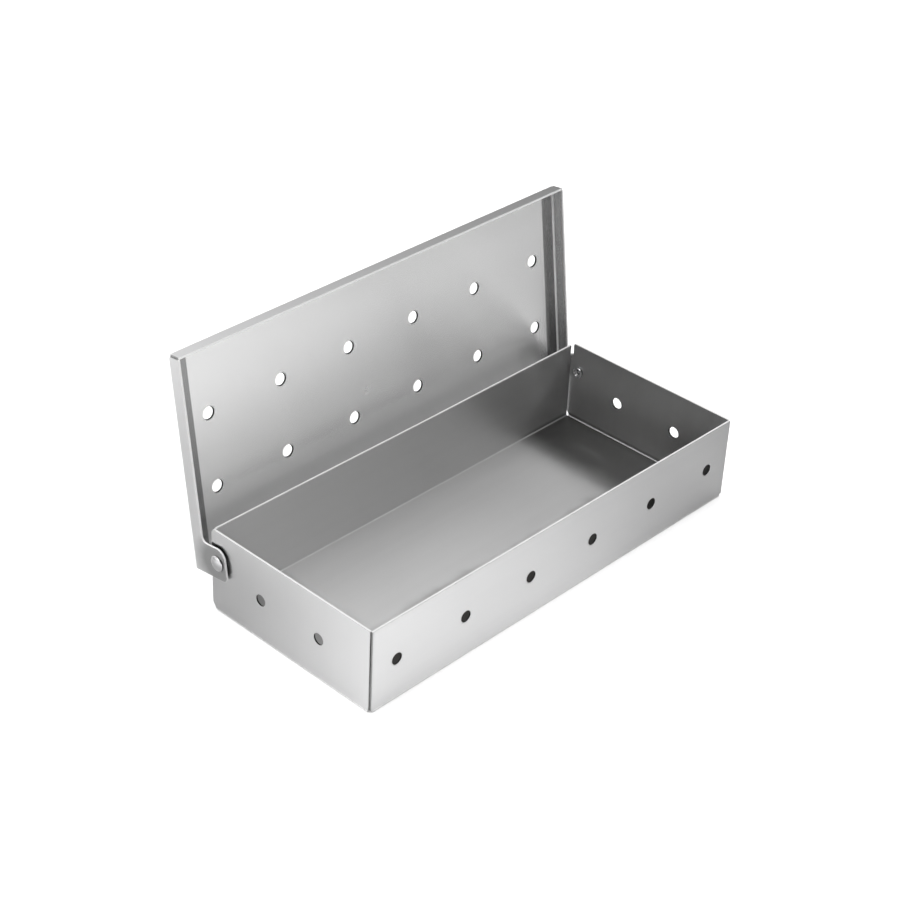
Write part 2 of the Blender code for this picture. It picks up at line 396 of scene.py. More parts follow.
@dataclass
class LevelPanel(Panel):
    """The panel that the folds start from: the tray's floor or the lid's plate.

    Attributes:
        level: Height of its outer face.
        up: 1 where the inside is above it, -1 where it is below.
        folded_back: Whether its edge at the back is folded too.
    """

    level: float = 0.0
    up: int = 1
    folded_back: bool = True

    def place(self, u: Array, v: Array, inward: Array) -> Array:
        """(u, v) are X and Y; the sag moves points off the level face, inward."""
        return np.stack([u, v, self.level + self.up * inward], -1)

    def unfold(self, u: Array, v: Array) -> Array:
        """The blank is drawn in this panel's own coordinates."""
        return np.stack([u, v], -1)

    def outward(self) -> Array:
        """Straight away from the inside."""
        return np.array([0, 0, -self.up])

    def fold_share(self, u: Array, v: Array) -> Array:
        """Folds start at both ends, at the front and, on the tray, at the back."""
        share = (abs(u) > self.u[-1] - WELD_DISTANCE) | (v < self.v[0] + WELD_DISTANCE)
        return share | (self.folded_back & (v > self.v[-1] - WELD_DISTANCE))


@dataclass
class FoldedPanel(Panel):
    """A wall or flange: u runs along its fold, and v is the developed length from its start.

    Attributes:
        start: Point of the outer face where the fold starts, at u = 0.
        along: Direction of the fold.
        out: Direction from the level panel out over the fold.
        up: Direction from the fold along the wall or flange.
    """

    start: Array = field(default_factory=lambda: np.zeros(3))
    along: Array = field(default_factory=lambda: np.array([1, 0, 0]))
    out: Array = field(default_factory=lambda: np.array([0, -1, 0]))
    up: Array = field(default_factory=lambda: np.array([0, 0, 1]))

    def place(self, u: Array, v: Array, inward: Array) -> Array:
        """Carries the flat strip round a quarter circle of the bend radius, then straight on."""
        arc = SHEET.bend * math.pi / 2
        angle = np.clip(v, 0, arc) / SHEET.bend
        reach = SHEET.bend * np.sin(angle)
        rise = SHEET.bend * (1 - np.cos(angle)) + np.clip(v - arc, 0, None)
        normal = np.sin(angle)[:, None] * self.out - np.cos(angle)[:, None] * self.up
        places = self.start + u[:, None] * self.along + reach[:, None] * self.out
        return places + rise[:, None] * self.up - inward[:, None] * normal

    def unfold(self, u: Array, v: Array) -> Array:
        """Lays the strip flat beside the level panel."""
        return (self.start + u[:, None] * self.along + v[:, None] * self.out)[:, :2]

    def outward(self) -> Array:
        """The wall's or flange's outer face."""
        return self.out

    def fold_share(self, u: Array, v: Array) -> Array:
        """1 over the fold's quarter circle."""
        return v < SHEET.bend * math.pi / 2 + WELD_DISTANCE


def developed(rise: Array | float) -> Array | float:
    """Developed length at a height above the level panel's outer face, past the fold."""
    return rise - SHEET.bend + SHEET.bend * math.pi / 2


FOLD_LINES = list(np.linspace(0, developed(SHEET.bend), 9))
FOLD_FOOT = developed(SHEET.inset)


def closing_lines(fold_end: float, end: float) -> Array:
    """Grid lines past a fold's end, from the wall's or flange's real end in to the fold's.

    Args:
        fold_end: Place where the fold ends.
        end: Place where the wall or flange ends, further out.

    Returns:
        Lines between them in the order of the coordinate, without the one at the fold's end.
    """
    inward = math.copysign(1, fold_end - end)
    steps = [step * MM for step in (0, 0.15, 0.3) if step * MM < abs(fold_end - end)]
    return np.sort([end + inward * step for step in steps])


def assemble(name: str, patches: list[Patch], turn: Matrix | None = None,
             own_inside: bool = False) -> bpy.types.Object:
    """Welds patches of outer skin, gives them the sheet's thickness and rounds the cut edges.

    Each point carries its distance to the nearest cut edge, in metres, its share of a fold and of a
    torn edge, and each face corner its place in the unfolded blank, for the finish to read.

    Args:
        name: Name of the piece.
        patches: The outer skin.
        turn: Where the sheet goes from the position that it was drawn in.
        own_inside: Whether the inner skin takes the piece's second finish.

    Returns:
        The piece, at the origin with its place in its mesh.
    """
    starts = np.cumsum([0] + [len(patch.points) for patch in patches])
    points = np.concatenate([patch.points for patch in patches])
    flat = np.concatenate([patch.flat for patch in patches])
    faces = np.concatenate([patch.faces + start for patch, start in zip(patches, starts)])
    if turn is not None:
        matrix = np.array(turn)
        points = points @ matrix[:3, :3].T + matrix[:3, 3]
    mesh = mesh_of(name, points, faces)
    blank = mesh.uv_layers.new(name="Blank")
    blank.uv.foreach_set("vector", flat[faces.ravel()].ravel())
    for label in ("fold", "sheared"):
        values = np.concatenate([getattr(patch, label) for patch in patches])
        mask = mesh.attributes.new(label, "FLOAT", "POINT")
        mask.data.foreach_set("value", values.astype(np.float32))
    weld(mesh)
    add_edge_distance(mesh)
    mesh.shade_smooth()
    piece = bpy.data.objects.new(name, mesh)
    bpy.context.scene.collection.objects.link(piece)
    solid = piece.modifiers.new("Thickness", "SOLIDIFY")
    solid.thickness = SHEET.thickness
    solid.offset = -1
    solid.use_even_offset = True
    solid.material_offset = int(own_inside)
    edges = piece.modifiers.new("Cut edges", "BEVEL")
    edges.width = SHEET.cut_round
    edges.segments = 3
    edges.limit_method = "ANGLE"
    edges.angle_limit = math.radians(50)
    edges.use_clamp_overlap = False
    edges.harden_normals = True
    return piece


def mesh_of(name: str, points: Array, faces: Array) -> bpy.types.Mesh:
    """A mesh from whole arrays.

    Args:
        name: Name of the mesh.
        points: (n, 3) places.
        faces: (m, 4) corners of its faces.

    Returns:
        The mesh, with smooth faces.
    """
    mesh = bpy.data.meshes.new(name)
    mesh.vertices.add(len(points))
    mesh.vertices.foreach_set("co", points.astype(np.float32).ravel())
    mesh.loops.add(faces.size)
    mesh.loops.foreach_set("vertex_index", faces.astype(np.int32).ravel())
    mesh.polygons.add(len(faces))
    mesh.polygons.foreach_set("loop_start", np.arange(0, faces.size, 4, dtype=np.int32))
    mesh.update(calc_edges=True)
    return mesh


def weld(mesh: bpy.types.Mesh) -> None:
    """Joins points that meet, and drops faces and edges that this leaves with no area."""
    shape = bmesh.new()
    shape.from_mesh(mesh)
    bmesh.ops.remove_doubles(shape, verts=shape.verts, dist=WELD_DISTANCE)
    bmesh.ops.dissolve_degenerate(shape, dist=WELD_DISTANCE / 2, edges=shape.edges)
    shape.to_mesh(mesh)
    shape.free()


def add_edge_distance(mesh: bpy.types.Mesh) -> None:
    """Stores each point's distance to the nearest cut edge of an open sheet.

    An edge with one face is a cut edge. The distance is the least over the middles and ends of
    those edges, worked out a block of points at a time.

    Args:
        mesh: The open outer skin.
    """
    points = np.empty(len(mesh.vertices) * 3, np.float32)
    mesh.vertices.foreach_get("co", points)
    points = points.reshape(-1, 3)
    corners = np.empty(len(mesh.edges) * 2, np.int32)
    mesh.edges.foreach_get("vertices", corners)
    used = np.empty(len(mesh.loops), np.int32)
    mesh.loops.foreach_get("edge_index", used)
    open_edges = np.bincount(used, minlength=len(mesh.edges)) == 1
    ends = points[corners.reshape(-1, 2)[open_edges]]
    rim = np.concatenate([ends.mean(1), ends[:, 0], ends[:, 1]])
    blocks = np.array_split(points, max(1, len(points) // 400))
    nearest = [np.linalg.norm(block[:, None] - rim[None], axis=2).min(1) for block in blocks]
    attribute = mesh.attributes.new("edge_distance", "FLOAT", "POINT")
    attribute.data.foreach_set("value", np.concatenate(nearest).astype(np.float32))


@dataclass
class Tray:
    """Floor and four walls, folded from one blank.

    Attributes:
        low: Lowest corner of its box, from the frame.
        high: Highest corner.
        axis_y: Y of the hinge axis.
        axis_z: Z of the hinge axis.
        heel: Height of the sloped foot at an end wall's rear edge.
        sweep_corner: Rounding of the end walls' rear upper corners, inside the lid's sweep.
        back_drop: How far the back wall's rim lies below the others.
        slot_back: Slot at the right rear corner, along the back wall.
        slot_side: The same slot, along the end wall.
        slot_depth: Its depth below the rim.
        wall_bow: Inward bow at the middle of a long wall's rim.
        floor_bow: Rise of the floor's middle.
    """

    low: Array
    high: Array
    axis_y: float
    axis_z: float
    heel: float = 3.6 * MM
    sweep_corner: float = 2.07 * MM
    back_drop: float = 0.617 * MM
    slot_back: float = 2.1 * MM
    slot_side: float = 1.5 * MM
    slot_depth: float = 5.8 * MM
    wall_bow: float = 0.22 * MM
    floor_bow: float = 0.20 * MM

    def __post_init__(self) -> None:
        """Works out the half sizes and the grid lines that neighbouring panels share."""
        self.half_x = (self.high[0] - self.low[0]) / 2
        self.half_y = (self.high[1] - self.low[1]) / 2
        self.height = self.high[2] - self.low[2]
        self.vent_z = self.height / 2
        end_x = self.half_x - SHEET.inset
        end_y = self.half_y - SHEET.inset
        slot = self.half_x - self.slot_back
        self.vents_x = VENTS.row(VENTS.long_pitch, VENTS.long_count)
        self.vents_y = VENTS.row(VENTS.end_pitch, VENTS.end_count)
        marks = end_marks(end_x, 1) + end_marks(-end_x, -1) + [slot, -slot]
        cells = [(x, VENTS.cell) for x in self.vents_x]
        self.lines_x = lines(-end_x, end_x, marks, cells, 2.2 * MM, 1.0 * MM)
        marks = end_marks(end_y, 1) + end_marks(-end_y, -1)
        cells = [(y, VENTS.cell) for y in self.vents_y] + [(self.axis_y, HINGE.bore_cell)]
        self.lines_y = lines(-end_y, end_y, marks, cells, 2.2 * MM, 1.0 * MM)

    def floor(self) -> LevelPanel:
        """The floor, notched at its corners where the folds end."""
        flat_x = self.half_x - SHEET.bend
        flat_y = self.half_y - SHEET.bend
        end_x = self.half_x - SHEET.inset
        end_y = self.half_y - SHEET.inset

        def keep(u: Array, v: Array) -> Array:
            return (abs(u) < end_x) | (abs(v) < end_y)

        def bow(u: Array, v: Array) -> Array:
            share = np.cos(np.pi / 2 * u / flat_x) * np.cos(np.pi / 2 * v / flat_y)
            wave = np.sin(41 * u + 0.6) * np.sin(63 * v + 1.1)
            return self.floor_bow * np.clip(share, 0, 1) ** 1.5 * (1 + 0.25 * wave)

        return LevelPanel(
            u=np.concatenate([[-flat_x], self.lines_x, [flat_x]]),
            v=np.concatenate([[-flat_y], self.lines_y, [flat_y]]),
            keep=keep,
            bow=bow,
            level=self.low[2],
        )

    def upright_lines(self, top: float, marks: list[float], cells: list[tuple[float, float]]) -> Array:
        """Developed lines of a wall, from its fold to its rim."""
        tall = developed(top)
        marks = [developed(mark) for mark in marks] + end_marks(tall, 1)
        cells = [(developed(centre), width) for centre, width in cells]
        past_fold = lines(FOLD_LINES[-1], tall, marks, cells, 2.2 * MM, 1.0 * MM)
        return np.concatenate([FOLD_LINES[:-1], past_fold])

    def long_bow(self, u: Array, v: Array, sign: int, tall: float) -> Array:
        """Inward bow of a long wall: a squared cosine along it, growing smoothly up to its rim."""
        share = np.cos(np.pi / 2 * np.clip(u / self.half_x, -1, 1)) ** 2
        wave = 1 + 0.3 * np.sin(37 * u + 0.9 * sign)
        return self.wall_bow * share * wave * smooth(v / tall)

    def front_wall(self) -> FoldedPanel:
        """The vented front wall, which closes on both corners above its fold."""
        fold_end = self.half_x - SHEET.inset
        end = self.half_x - SHEET.front_lap
        tall = developed(self.height)

        def shape(u: Array, v: Array) -> tuple[Array, Array]:
            """Rounds both upper corners."""
            across, down = round_corner(end - abs(u), tall - v, SHEET.front_corner)
            return np.sign(u) * (end - across), tall - down

        def keep(u: Array, v: Array) -> Array:
            """Leaves out what lies beyond the fold's ends beside the fold."""
            return (abs(u) < fold_end) | (v > FOLD_FOOT)

        def bow(u: Array, v: Array) -> Array:
            """The bow of a long wall."""
            return self.long_bow(u, v, -1, tall)

        def torn(u: Array, v: Array) -> Array:
            """The upright ends are as the shears left them."""
            return (abs(u) > end - WELD_DISTANCE) & (v < tall - SHEET.front_corner)

        holes = [Hole(x, developed(self.vent_z), VENTS.radius, VENTS.cell) for x in self.vents_x]
        return FoldedPanel(
            u=np.concatenate([closing_lines(-fold_end, -end), self.lines_x,
                              closing_lines(fold_end, end)]),
            v=self.upright_lines(self.height, [SHEET.inset], [(self.vent_z, VENTS.cell)]),
            holes=holes,
            shape=shape,
            keep=keep,
            bow=bow,
            torn=torn,
            start=np.array([0, SHEET.bend - self.half_y, self.low[2]]),
            along=np.array([1, 0, 0]),
            out=np.array([0, -1, 0]),
        )

    def back_wall(self) -> FoldedPanel:
        """The plain back wall, slotted at its right end, with its rim inside the lid's sweep."""
        end = self.half_x - SHEET.inset
        top = self.height - self.back_drop
        tall = developed(top)
        slot_u = self.half_x - self.slot_back
        slot_v = developed(self.height - self.slot_depth)

        def shape(u: Array, v: Array) -> tuple[Array, Array]:
            """Rounds both upper corners."""
            across, down = round_corner(end - abs(u), tall - v, SHEET.rear_corner)
            return np.sign(u) * (end - across), tall - down

        def keep(u: Array, v: Array) -> Array:
            """Leaves out the slot."""
            return ~((u > slot_u) & (v > slot_v))

        def bow(u: Array, v: Array) -> Array:
            """The bow of a long wall."""
            return self.long_bow(u, v, 1, tall)

        return FoldedPanel(
            u=self.lines_x,
            v=self.upright_lines(top, [SHEET.inset, self.height - self.slot_depth], []),
            shape=shape,
            keep=keep,
            bow=bow,
            start=np.array([0, self.half_y - SHEET.bend, self.low[2]]),
            along=np.array([1, 0, 0]),
            out=np.array([0, 1, 0]),
        )

    def end_wall(self, side: Side) -> FoldedPanel:
        """An end wall: vented, bored for its rivet, and carried past its fold to the back."""
        end = self.half_y - SHEET.inset
        front_end = self.half_y - SHEET.side_lap
        tall = developed(self.height)
        heel_rise = self.heel - SHEET.inset
        slot_v = developed(self.height - self.slot_depth)
        rear = np.linspace(end, self.half_y, 5)[1:]

        def shape(u: Array, v: Array) -> tuple[Array, Array]:
            """Lifts the heel and rounds both upper corners."""
            beyond = np.clip((u - end) / (self.half_y - end), 0, 1)
            fade = np.clip(1 - (v - FOLD_FOOT) / (4 * heel_rise), 0, 1)
            v = v + heel_rise * beyond * fade
            behind, down = round_corner(self.half_y - u, tall - v, self.sweep_corner)
            u, v = self.half_y - behind, tall - down
            before, down = round_corner(u + front_end, tall - v, SHEET.front_corner)
            return before - front_end, tall - down

        def keep(u: Array, v: Array) -> Array:
            """Leaves out what lies beyond the fold's ends beside the fold, and the slot."""
            past_fold = (abs(u) < end) | (v > FOLD_FOOT)
            slotted = (side is Side.RIGHT) & (u > end) & (v > slot_v)
            return past_fold & ~slotted

        def bow(u: Array, v: Array) -> Array:
            """A squared cosine along the wall, growing smoothly up to its rim."""
            share = np.cos(np.pi / 2 * np.clip(u / end, -1, 1)) ** 2
            return 0.4 * self.wall_bow * share * smooth(v / tall)

        def torn(u: Array, v: Array) -> Array:
            """The upright front end is as the shears left it."""
            return (u < WELD_DISTANCE - front_end) & (v < tall - SHEET.front_corner)

        vent_v = developed(self.vent_z)
        holes = [Hole(y, vent_v, VENTS.radius, VENTS.cell) for y in self.vents_y]
        holes.append(Hole(self.axis_y, developed(self.axis_z), HINGE.bore, HINGE.bore_cell))
        cells = [(self.vent_z, VENTS.cell), (self.axis_z, HINGE.bore_cell)]
        marks = [SHEET.inset, self.height - self.slot_depth]
        return FoldedPanel(
            u=np.concatenate([closing_lines(-end, -front_end), self.lines_y, rear]),
            v=self.upright_lines(self.height, marks, cells),
            holes=holes,
            shape=shape,
            keep=keep,
            bow=bow,
            torn=torn,
            start=np.array([side.value * (self.half_x - SHEET.bend), 0, self.low[2]]),
            along=np.array([0, 1, 0]),
            out=np.array([side.value, 0, 0]),
        )

    def build(self) -> bpy.types.Object:
        """Folds the whole tray."""
        panels = [self.floor(), self.front_wall(), self.back_wall()]
        panels += [self.end_wall(side) for side in Side]
        patches = [patch for panel in panels for patch in panel.patches()]
        return assemble("tray_sheet", patches, own_inside=True)


@dataclass
class Lid:
    """Plate, front flange and two side flanges that end in the hinge ears.

    It is drawn level about the hinge axis, which is its origin, and then opened.

    Attributes:
        tray: The tray that it covers.
        lift: Inside of the plate above the tray's rim, at the hinge.
        front_gap: From the tray's front to the inside of the front flange.
        flange: Depth of the flanges, plate included.
        ear_front: Reach of an ear in front of the axis.
        ear_rear: Reach of an ear and of the plate behind the axis.
        ear_drop: Reach of an ear below the axis.
        ear_front_radius: Rounding of an ear's lower front corner.
        ear_rear_radius: Rounding of its lower rear corner.
        ear_fillet: Fillet between an ear and its flange.
        plate_bow: Inward bow of the plate's middle.
    """

    tray: Tray
    lift: float = 0.8 * MM
    front_gap: float = 1.1 * MM
    flange: float = 7.0 * MM
    ear_front: float = 6.9 * MM
    ear_rear: float = 7.5 * MM
    ear_drop: float = 4.9 * MM
    ear_front_radius: float = 4.6 * MM
    ear_rear_radius: float = 2.2 * MM
    ear_fillet: float = 2.5 * MM
    plate_bow: float = 0.16 * MM

    def __post_init__(self) -> None:
        """Works out the plate's edges and the grid lines that the flanges share with it."""
        self.top = self.tray.height - self.tray.axis_z + self.lift + SHEET.thickness
        self.half_x = self.tray.half_x + HINGE.side_gap + SHEET.thickness
        self.front = -(self.tray.half_y + self.tray.axis_y + self.front_gap + SHEET.thickness)
        middle = -self.tray.axis_y + VENTS.lid_row_shift
        self.rows = [middle + side * VENTS.lid_row_pitch / 2 for side in (-1, 1)]
        end_x = self.half_x - SHEET.inset
        first_y = self.front + SHEET.inset
        cells = [(x, VENTS.cell) for x in self.tray.vents_x]
        marks = end_marks(end_x, 1) + end_marks(-end_x, -1)
        self.lines_x = lines(-end_x, end_x, marks, cells, 2.2 * MM, 1.0 * MM)
        fillet_angles = np.linspace(0, math.pi / 2, 8)
        fillet_start = -self.ear_front - self.ear_fillet
        marks = end_marks(first_y, -1) + end_marks(self.ear_rear, 1)
        marks += list(fillet_start + self.ear_fillet * np.sin(fillet_angles))
        marks.append(-self.ear_front_radius)
        cells = [(y, VENTS.cell) for y in self.rows]
        self.lines_y = lines(first_y, self.ear_rear, marks, cells, 2.2 * MM, 1.0 * MM)

    def plate(self) -> LevelPanel:
        """The plate, with two rows of vents, notched at its front corners."""
        flat_x = self.half_x - SHEET.bend
        end_x = self.half_x - SHEET.inset
        flat_front = self.front + SHEET.bend
        end_front = self.front + SHEET.inset

        def keep(u: Array, v: Array) -> Array:
            return (abs(u) < end_x) | (v > end_front)

        def bow(u: Array, v: Array) -> Array:
            along = np.clip((v - flat_front) / (self.ear_rear - flat_front), 0, 1)
            share = np.cos(np.pi / 2 * u / flat_x) * np.sin(np.pi * along)
            wave = np.sin(33 * u + 0.4) * np.sin(71 * v + 0.3)
            return self.plate_bow * np.clip(share, 0, 1) ** 1.5 * (1 + 0.3 * wave)

        holes = [Hole(x, y, VENTS.radius, VENTS.cell) for y in self.rows for x in self.tray.vents_x]
        return LevelPanel(
            u=np.concatenate([[-flat_x], self.lines_x, [flat_x]]),
            v=np.concatenate([[flat_front], self.lines_y]),
            holes=holes,
            keep=keep,
            bow=bow,
            level=self.top,
            up=-1,
            folded_back=False,
        )

    def front_flange(self) -> FoldedPanel:
        """The flange along the front, which closes on both corners past its fold."""
        fold_end = self.half_x - SHEET.inset
        end = self.half_x - SHEET.front_lap
        deep = developed(self.flange)

        def shape(u: Array, v: Array) -> tuple[Array, Array]:
            """Rounds both free corners."""
            across, down = round_corner(end - abs(u), deep - v, SHEET.flange_corner)
            return np.sign(u) * (end - across), deep - down

        def keep(u: Array, v: Array) -> Array:
            """Leaves out what lies beyond the fold's ends beside the fold."""
            return (abs(u) < fold_end) | (v > FOLD_FOOT)

        def torn(u: Array, v: Array) -> Array:
            """The short ends are as the shears left them."""
            return (abs(u) > end - WELD_DISTANCE) & (v < deep - SHEET.flange_corner)

        marks = end_marks(deep, 1) + [FOLD_FOOT]
        past_fold = lines(FOLD_LINES[-1], deep, marks, [], 1.4 * MM, 1.0 * MM)
        return FoldedPanel(
            u=np.concatenate([closing_lines(-fold_end, -end), self.lines_x,
                              closing_lines(fold_end, end)]),
            v=np.concatenate([FOLD_LINES[:-1], past_fold]),
            shape=shape,
            keep=keep,
            torn=torn,
            start=np.array([0, self.front + SHEET.bend, self.top]),
            along=np.array([1, 0, 0]),
            out=np.array([0, -1, 0]),
            up=np.array([0, 0, -1]),
        )

    def side_flange(self, side: Side) -> FoldedPanel:
        """A side flange down to its free edge, and over the ear down to where the fillet ends."""
        fold_front = self.front + SHEET.inset
        front = self.front + SHEET.side_lap
        deep = developed(self.flange)
        fillet_start = -self.ear_front - self.ear_fillet

        def free_edge(u: Array) -> Array:
            """The free edge, which the fillet carries down to the ear by a quarter circle."""
            run = np.clip(u - fillet_start, 0, self.ear_fillet)
            drop = self.ear_fillet - np.sqrt(np.clip(self.ear_fillet ** 2 - run ** 2, 0, None))
            return deep + drop

        def shape(u: Array, v: Array) -> tuple[Array, Array]:
            """Draws the grid out over the fillet and rounds the free corner in front."""
            share = np.clip((v - FOLD_LINES[-1]) / (deep - FOLD_LINES[-1]), 0, 1)
            v = v + share * (free_edge(u) - deep)
            corner = u < fillet_start
            behind, up = round_corner(u - front, deep - v, SHEET.flange_corner)
            return np.where(corner, front + behind, u), np.where(corner, deep - up, v)

        def keep(u: Array, v: Array) -> Array:
            """Leaves out what lies beyond the fold's end beside the fold."""
            return (u > fold_front) | (v > FOLD_FOOT)

        def torn(u: Array, v: Array) -> Array:
            """The short front end is as the shears left it."""
            return (u < front + WELD_DISTANCE) & (v < deep - SHEET.flange_corner)

        marks = end_marks(deep, 1) + [FOLD_FOOT]
        past_fold = lines(FOLD_LINES[-1], deep, marks, [], 1.4 * MM, 1.0 * MM)
        return FoldedPanel(
            u=np.concatenate([closing_lines(fold_front, front), self.lines_y]),
            v=np.concatenate([FOLD_LINES[:-1], past_fold]),
            punched=False,
            shape=shape,
            keep=keep,
            torn=torn,
            start=np.array([side.value * (self.half_x - SHEET.bend), 0, self.top]),
            along=np.array([0, 1, 0]),
            out=np.array([side.value, 0, 0]),
            up=np.array([0, 0, -1]),
        )

    def ear(self, flange: FoldedPanel) -> Patch:
        """The ear below its flange: rings from its outline in to the rivet's bore.

        Args:
            flange: The side flange that it grows from.

        Returns:
            The patch, which meets the flange's last line point for point.
        """
        base_v = developed(self.flange) + self.ear_fillet
        axis_v = developed(self.top)
        low_v = axis_v + self.ear_drop
        shared = self.lines_y[self.lines_y >= -self.ear_front - WELD_DISTANCE]
        seam = np.stack([shared, np.full_like(shared, base_v)], 1)
        rear_centre = (self.ear_rear - self.ear_rear_radius, low_v - self.ear_rear_radius)
        front_centre = (self.ear_front_radius - self.ear_front, low_v - self.ear_front_radius)
        rear_edge = segment((self.ear_rear, base_v), (self.ear_rear, rear_centre[1]), 8)
        rear_corner = arc(rear_centre, self.ear_rear_radius, 0, math.pi / 2, 8)
        low_edge = segment((rear_centre[0], low_v), (front_centre[0], low_v), 6)
        front_corner = arc(front_centre, self.ear_front_radius, math.pi / 2, math.pi, 12)
        front_edge = segment((-self.ear_front, front_centre[1]), (-self.ear_front, base_v), 7)
        parts = [seam, rear_edge, rear_corner, low_edge, front_corner, front_edge]
        loop = np.concatenate([part[:-1] for part in parts])
        return flange.ring(Hole(0, axis_v, HINGE.bore, 0), loop)

    def build(self) -> bpy.types.Object:
        """Folds the whole lid and opens it about the hinge axis."""
        panels = [self.plate(), self.front_flange()]
        patches = [patch for panel in panels for patch in panel.patches()]
        for side in Side:
            flange = self.side_flange(side)
            patches += [flange.grid(), self.ear(flange)]
        opened = Matrix.Translation((0, self.tray.axis_y, self.tray.axis_z))
        opened @= Matrix.Rotation(-HINGE.rest_opening, 4, "X")
        return assemble("lid_sheet", patches, opened, own_inside=True)


def segment(start: tuple[float, float], end: tuple[float, float], count: int) -> Array:
    """Points of a straight stretch, evenly spaced, both ends included."""
    return np.linspace(start, end, count + 1)


def arc(centre: tuple[float, float], radius: float, first: float, last: float, count: int) -> Array:
    """Points of a round stretch: the centre plus the radius times (cosine, sine) of each angle."""
    angle = np.linspace(first, last, count + 1)
    return np.array(centre) + radius * np.stack([np.cos(angle), np.sin(angle)], 1)


@dataclass
class TurnedPiece:
    """A piece turned about the hinge axis, its heights counted outward from an end wall.

    Attributes:
        tray: The tray that carries it.
        side: The end that it sits at.
        steps: Steps round the axis.
    """

    tray: Tray
    side: Side
    steps: int = 96

    def profile(self) -> Array:
        """(radius, height) points from the outermost one inward along the axis."""
        raise NotImplementedError

    def waver(self, radius: Array, height: Array, angle: Array) -> Array:
        """Factor on each point's radius, 1 where the piece is truly round."""
        return np.ones_like(angle)

    def turned(self, name: str, closed: bool) -> bpy.types.Object:
        """Carries the profile round the axis.

        A point at (radius, height) and an angle lies at the wall's face plus the height outward,
        and at radius times (cosine, sine) of the angle from the axis.

        Args:
            name: Name of the piece.
            closed: Whether the profile's last point joins its first.

        Returns:
            The piece.
        """
        profile = self.profile()
        angle = np.arange(self.steps) * 2 * np.pi / self.steps
        radius, angles = np.meshgrid(profile[:, 0], angle, indexing="ij")
        height = np.broadcast_to(profile[:, 1:], radius.shape)
        radius = radius * self.waver(radius, height, angles)
        points = np.stack([
            self.side.value * (self.tray.half_x + height),
            self.tray.axis_y + radius * np.cos(angles),
            self.tray.axis_z + radius * np.sin(angles),
        ], -1).reshape(-1, 3)
        number = np.arange(radius.size).reshape(radius.shape)
        after = np.roll(number, -1, axis=1)
        last = None if closed else -1
        below, below_after = np.roll(number, -1, axis=0)[:last], np.roll(after, -1, axis=0)[:last]
        faces = np.stack([number[:last], below, below_after, after[:last]], -1).reshape(-1, 4)
        if self.side is Side.LEFT:
            faces = faces[:, ::-1]
        mesh = mesh_of(name, points, faces)
        weld(mesh)
        distance = mesh.attributes.new("edge_distance", "FLOAT", "POINT")
        distance.data.foreach_set("value", np.full(len(mesh.vertices), 1.0, np.float32))
        mesh.shade_smooth()
        mesh.set_sharp_from_angle(angle=math.radians(45))
        piece = bpy.data.objects.new(name, mesh)
        bpy.context.scene.collection.objects.link(piece)
        return piece


@dataclass
class Rivet(TurnedPiece):
    """Hinge rivet: a domed head, a shank, and a rolled hollow tail.

    Attributes:
        head: Radius of the head.
        head_height: Its height over the ear.
        rim: Height of the head at its rim.
        shank: Radius of the shank.
        tail: Outer radius of the rolled tail.
        tail_height: Its height inside the wall.
        tail_bore: Radius of the hollow in it.
    """

    head: float = 3.5 * MM
    head_height: float = 1.0 * MM
    rim: float = 0.3 * MM
    shank: float = 2.05 * MM
    tail: float = 2.7 * MM
    tail_height: float = 1.1 * MM
    tail_bore: float = 1.05 * MM

    def profile(self) -> Array:
        """Dome, rim, shank, rolled tail and the hollow in it.

        The dome is the cap of a ball, and runs out into a quarter circle round the rim.

        Returns:
            The profile.
        """
        base = HINGE.side_gap + SHEET.thickness + HINGE.seat_gap
        inner = -SHEET.thickness - HINGE.seat_gap
        reach, rise = self.head - self.rim, self.head_height - self.rim
        ball = (reach ** 2 + rise ** 2) / (2 * rise)
        turn = np.linspace(0, math.asin(reach / ball), 22)
        cap = np.stack([ball * np.sin(turn), base + self.rim + rise - ball * (1 - np.cos(turn))], 1)
        rim = arc((reach, base), self.rim, math.pi / 2, 0.6, 6)
        under = 0.4 * self.rim
        lower = arc((self.head - under, base + under), under, 0, -math.pi / 2, 4)
        roll = self.tail_height / 2
        middle = (self.tail - roll, inner - roll)
        curl = arc(middle, roll, math.pi / 2, -math.pi, 18)
        mouth = self.tail - 2 * roll
        bore = np.array([
            [0.5 * (mouth + self.tail_bore), inner - 0.9 * roll],
            [self.tail_bore, inner - 0.4 * roll],
            [self.tail_bore, 0.1 * inner],
            [0, -0.4 * inner],
        ])
        shank = np.array([[self.shank, base], [self.shank, inner]])
        return np.concatenate([cap[:-1], rim, lower, shank, curl, bore])

    def waver(self, radius: Array, height: Array, angle: Array) -> Array:
        """The rolled tail is slightly lobed, as an orbital tool leaves it."""
        in_tail = height < -SHEET.thickness - HINGE.seat_gap
        lobes = 1 - 0.012 * (1 + np.cos(7 * angle + 0.5))
        return np.where(in_tail & (radius > self.shank), lobes, 1.0)

    def build(self) -> bpy.types.Object:
        """Turns the rivet."""
        return self.turned(f"rivet_{self.side.word}", closed=False)


@dataclass
class Spacer(TurnedPiece):
    """Flat washer between ear and wall, with its punched edges broken."""

    edge: float = 0.10 * MM

    def profile(self) -> Array:
        """A rectangle with small round corners, run from its outer top corner."""
        low = HINGE.seat_gap
        high = HINGE.side_gap - HINGE.seat_gap
        inner, outer, edge = HINGE.bore, HINGE.washer, self.edge
        quarter = math.pi / 2
        return np.concatenate([
            arc((outer - edge, high - edge), edge, quarter, 0, 3),
            arc((outer - edge, low + edge), edge, 0, -quarter, 3),
            arc((inner + edge, low + edge), edge, -quarter, -2 * quarter, 3),
            arc((inner + edge, high - edge), edge, 2 * quarter, quarter, 3),
        ])

    def build(self) -> bpy.types.Object:
        """Turns the washer."""
        return self.turned(f"spacer_{self.side.word}", closed=True)


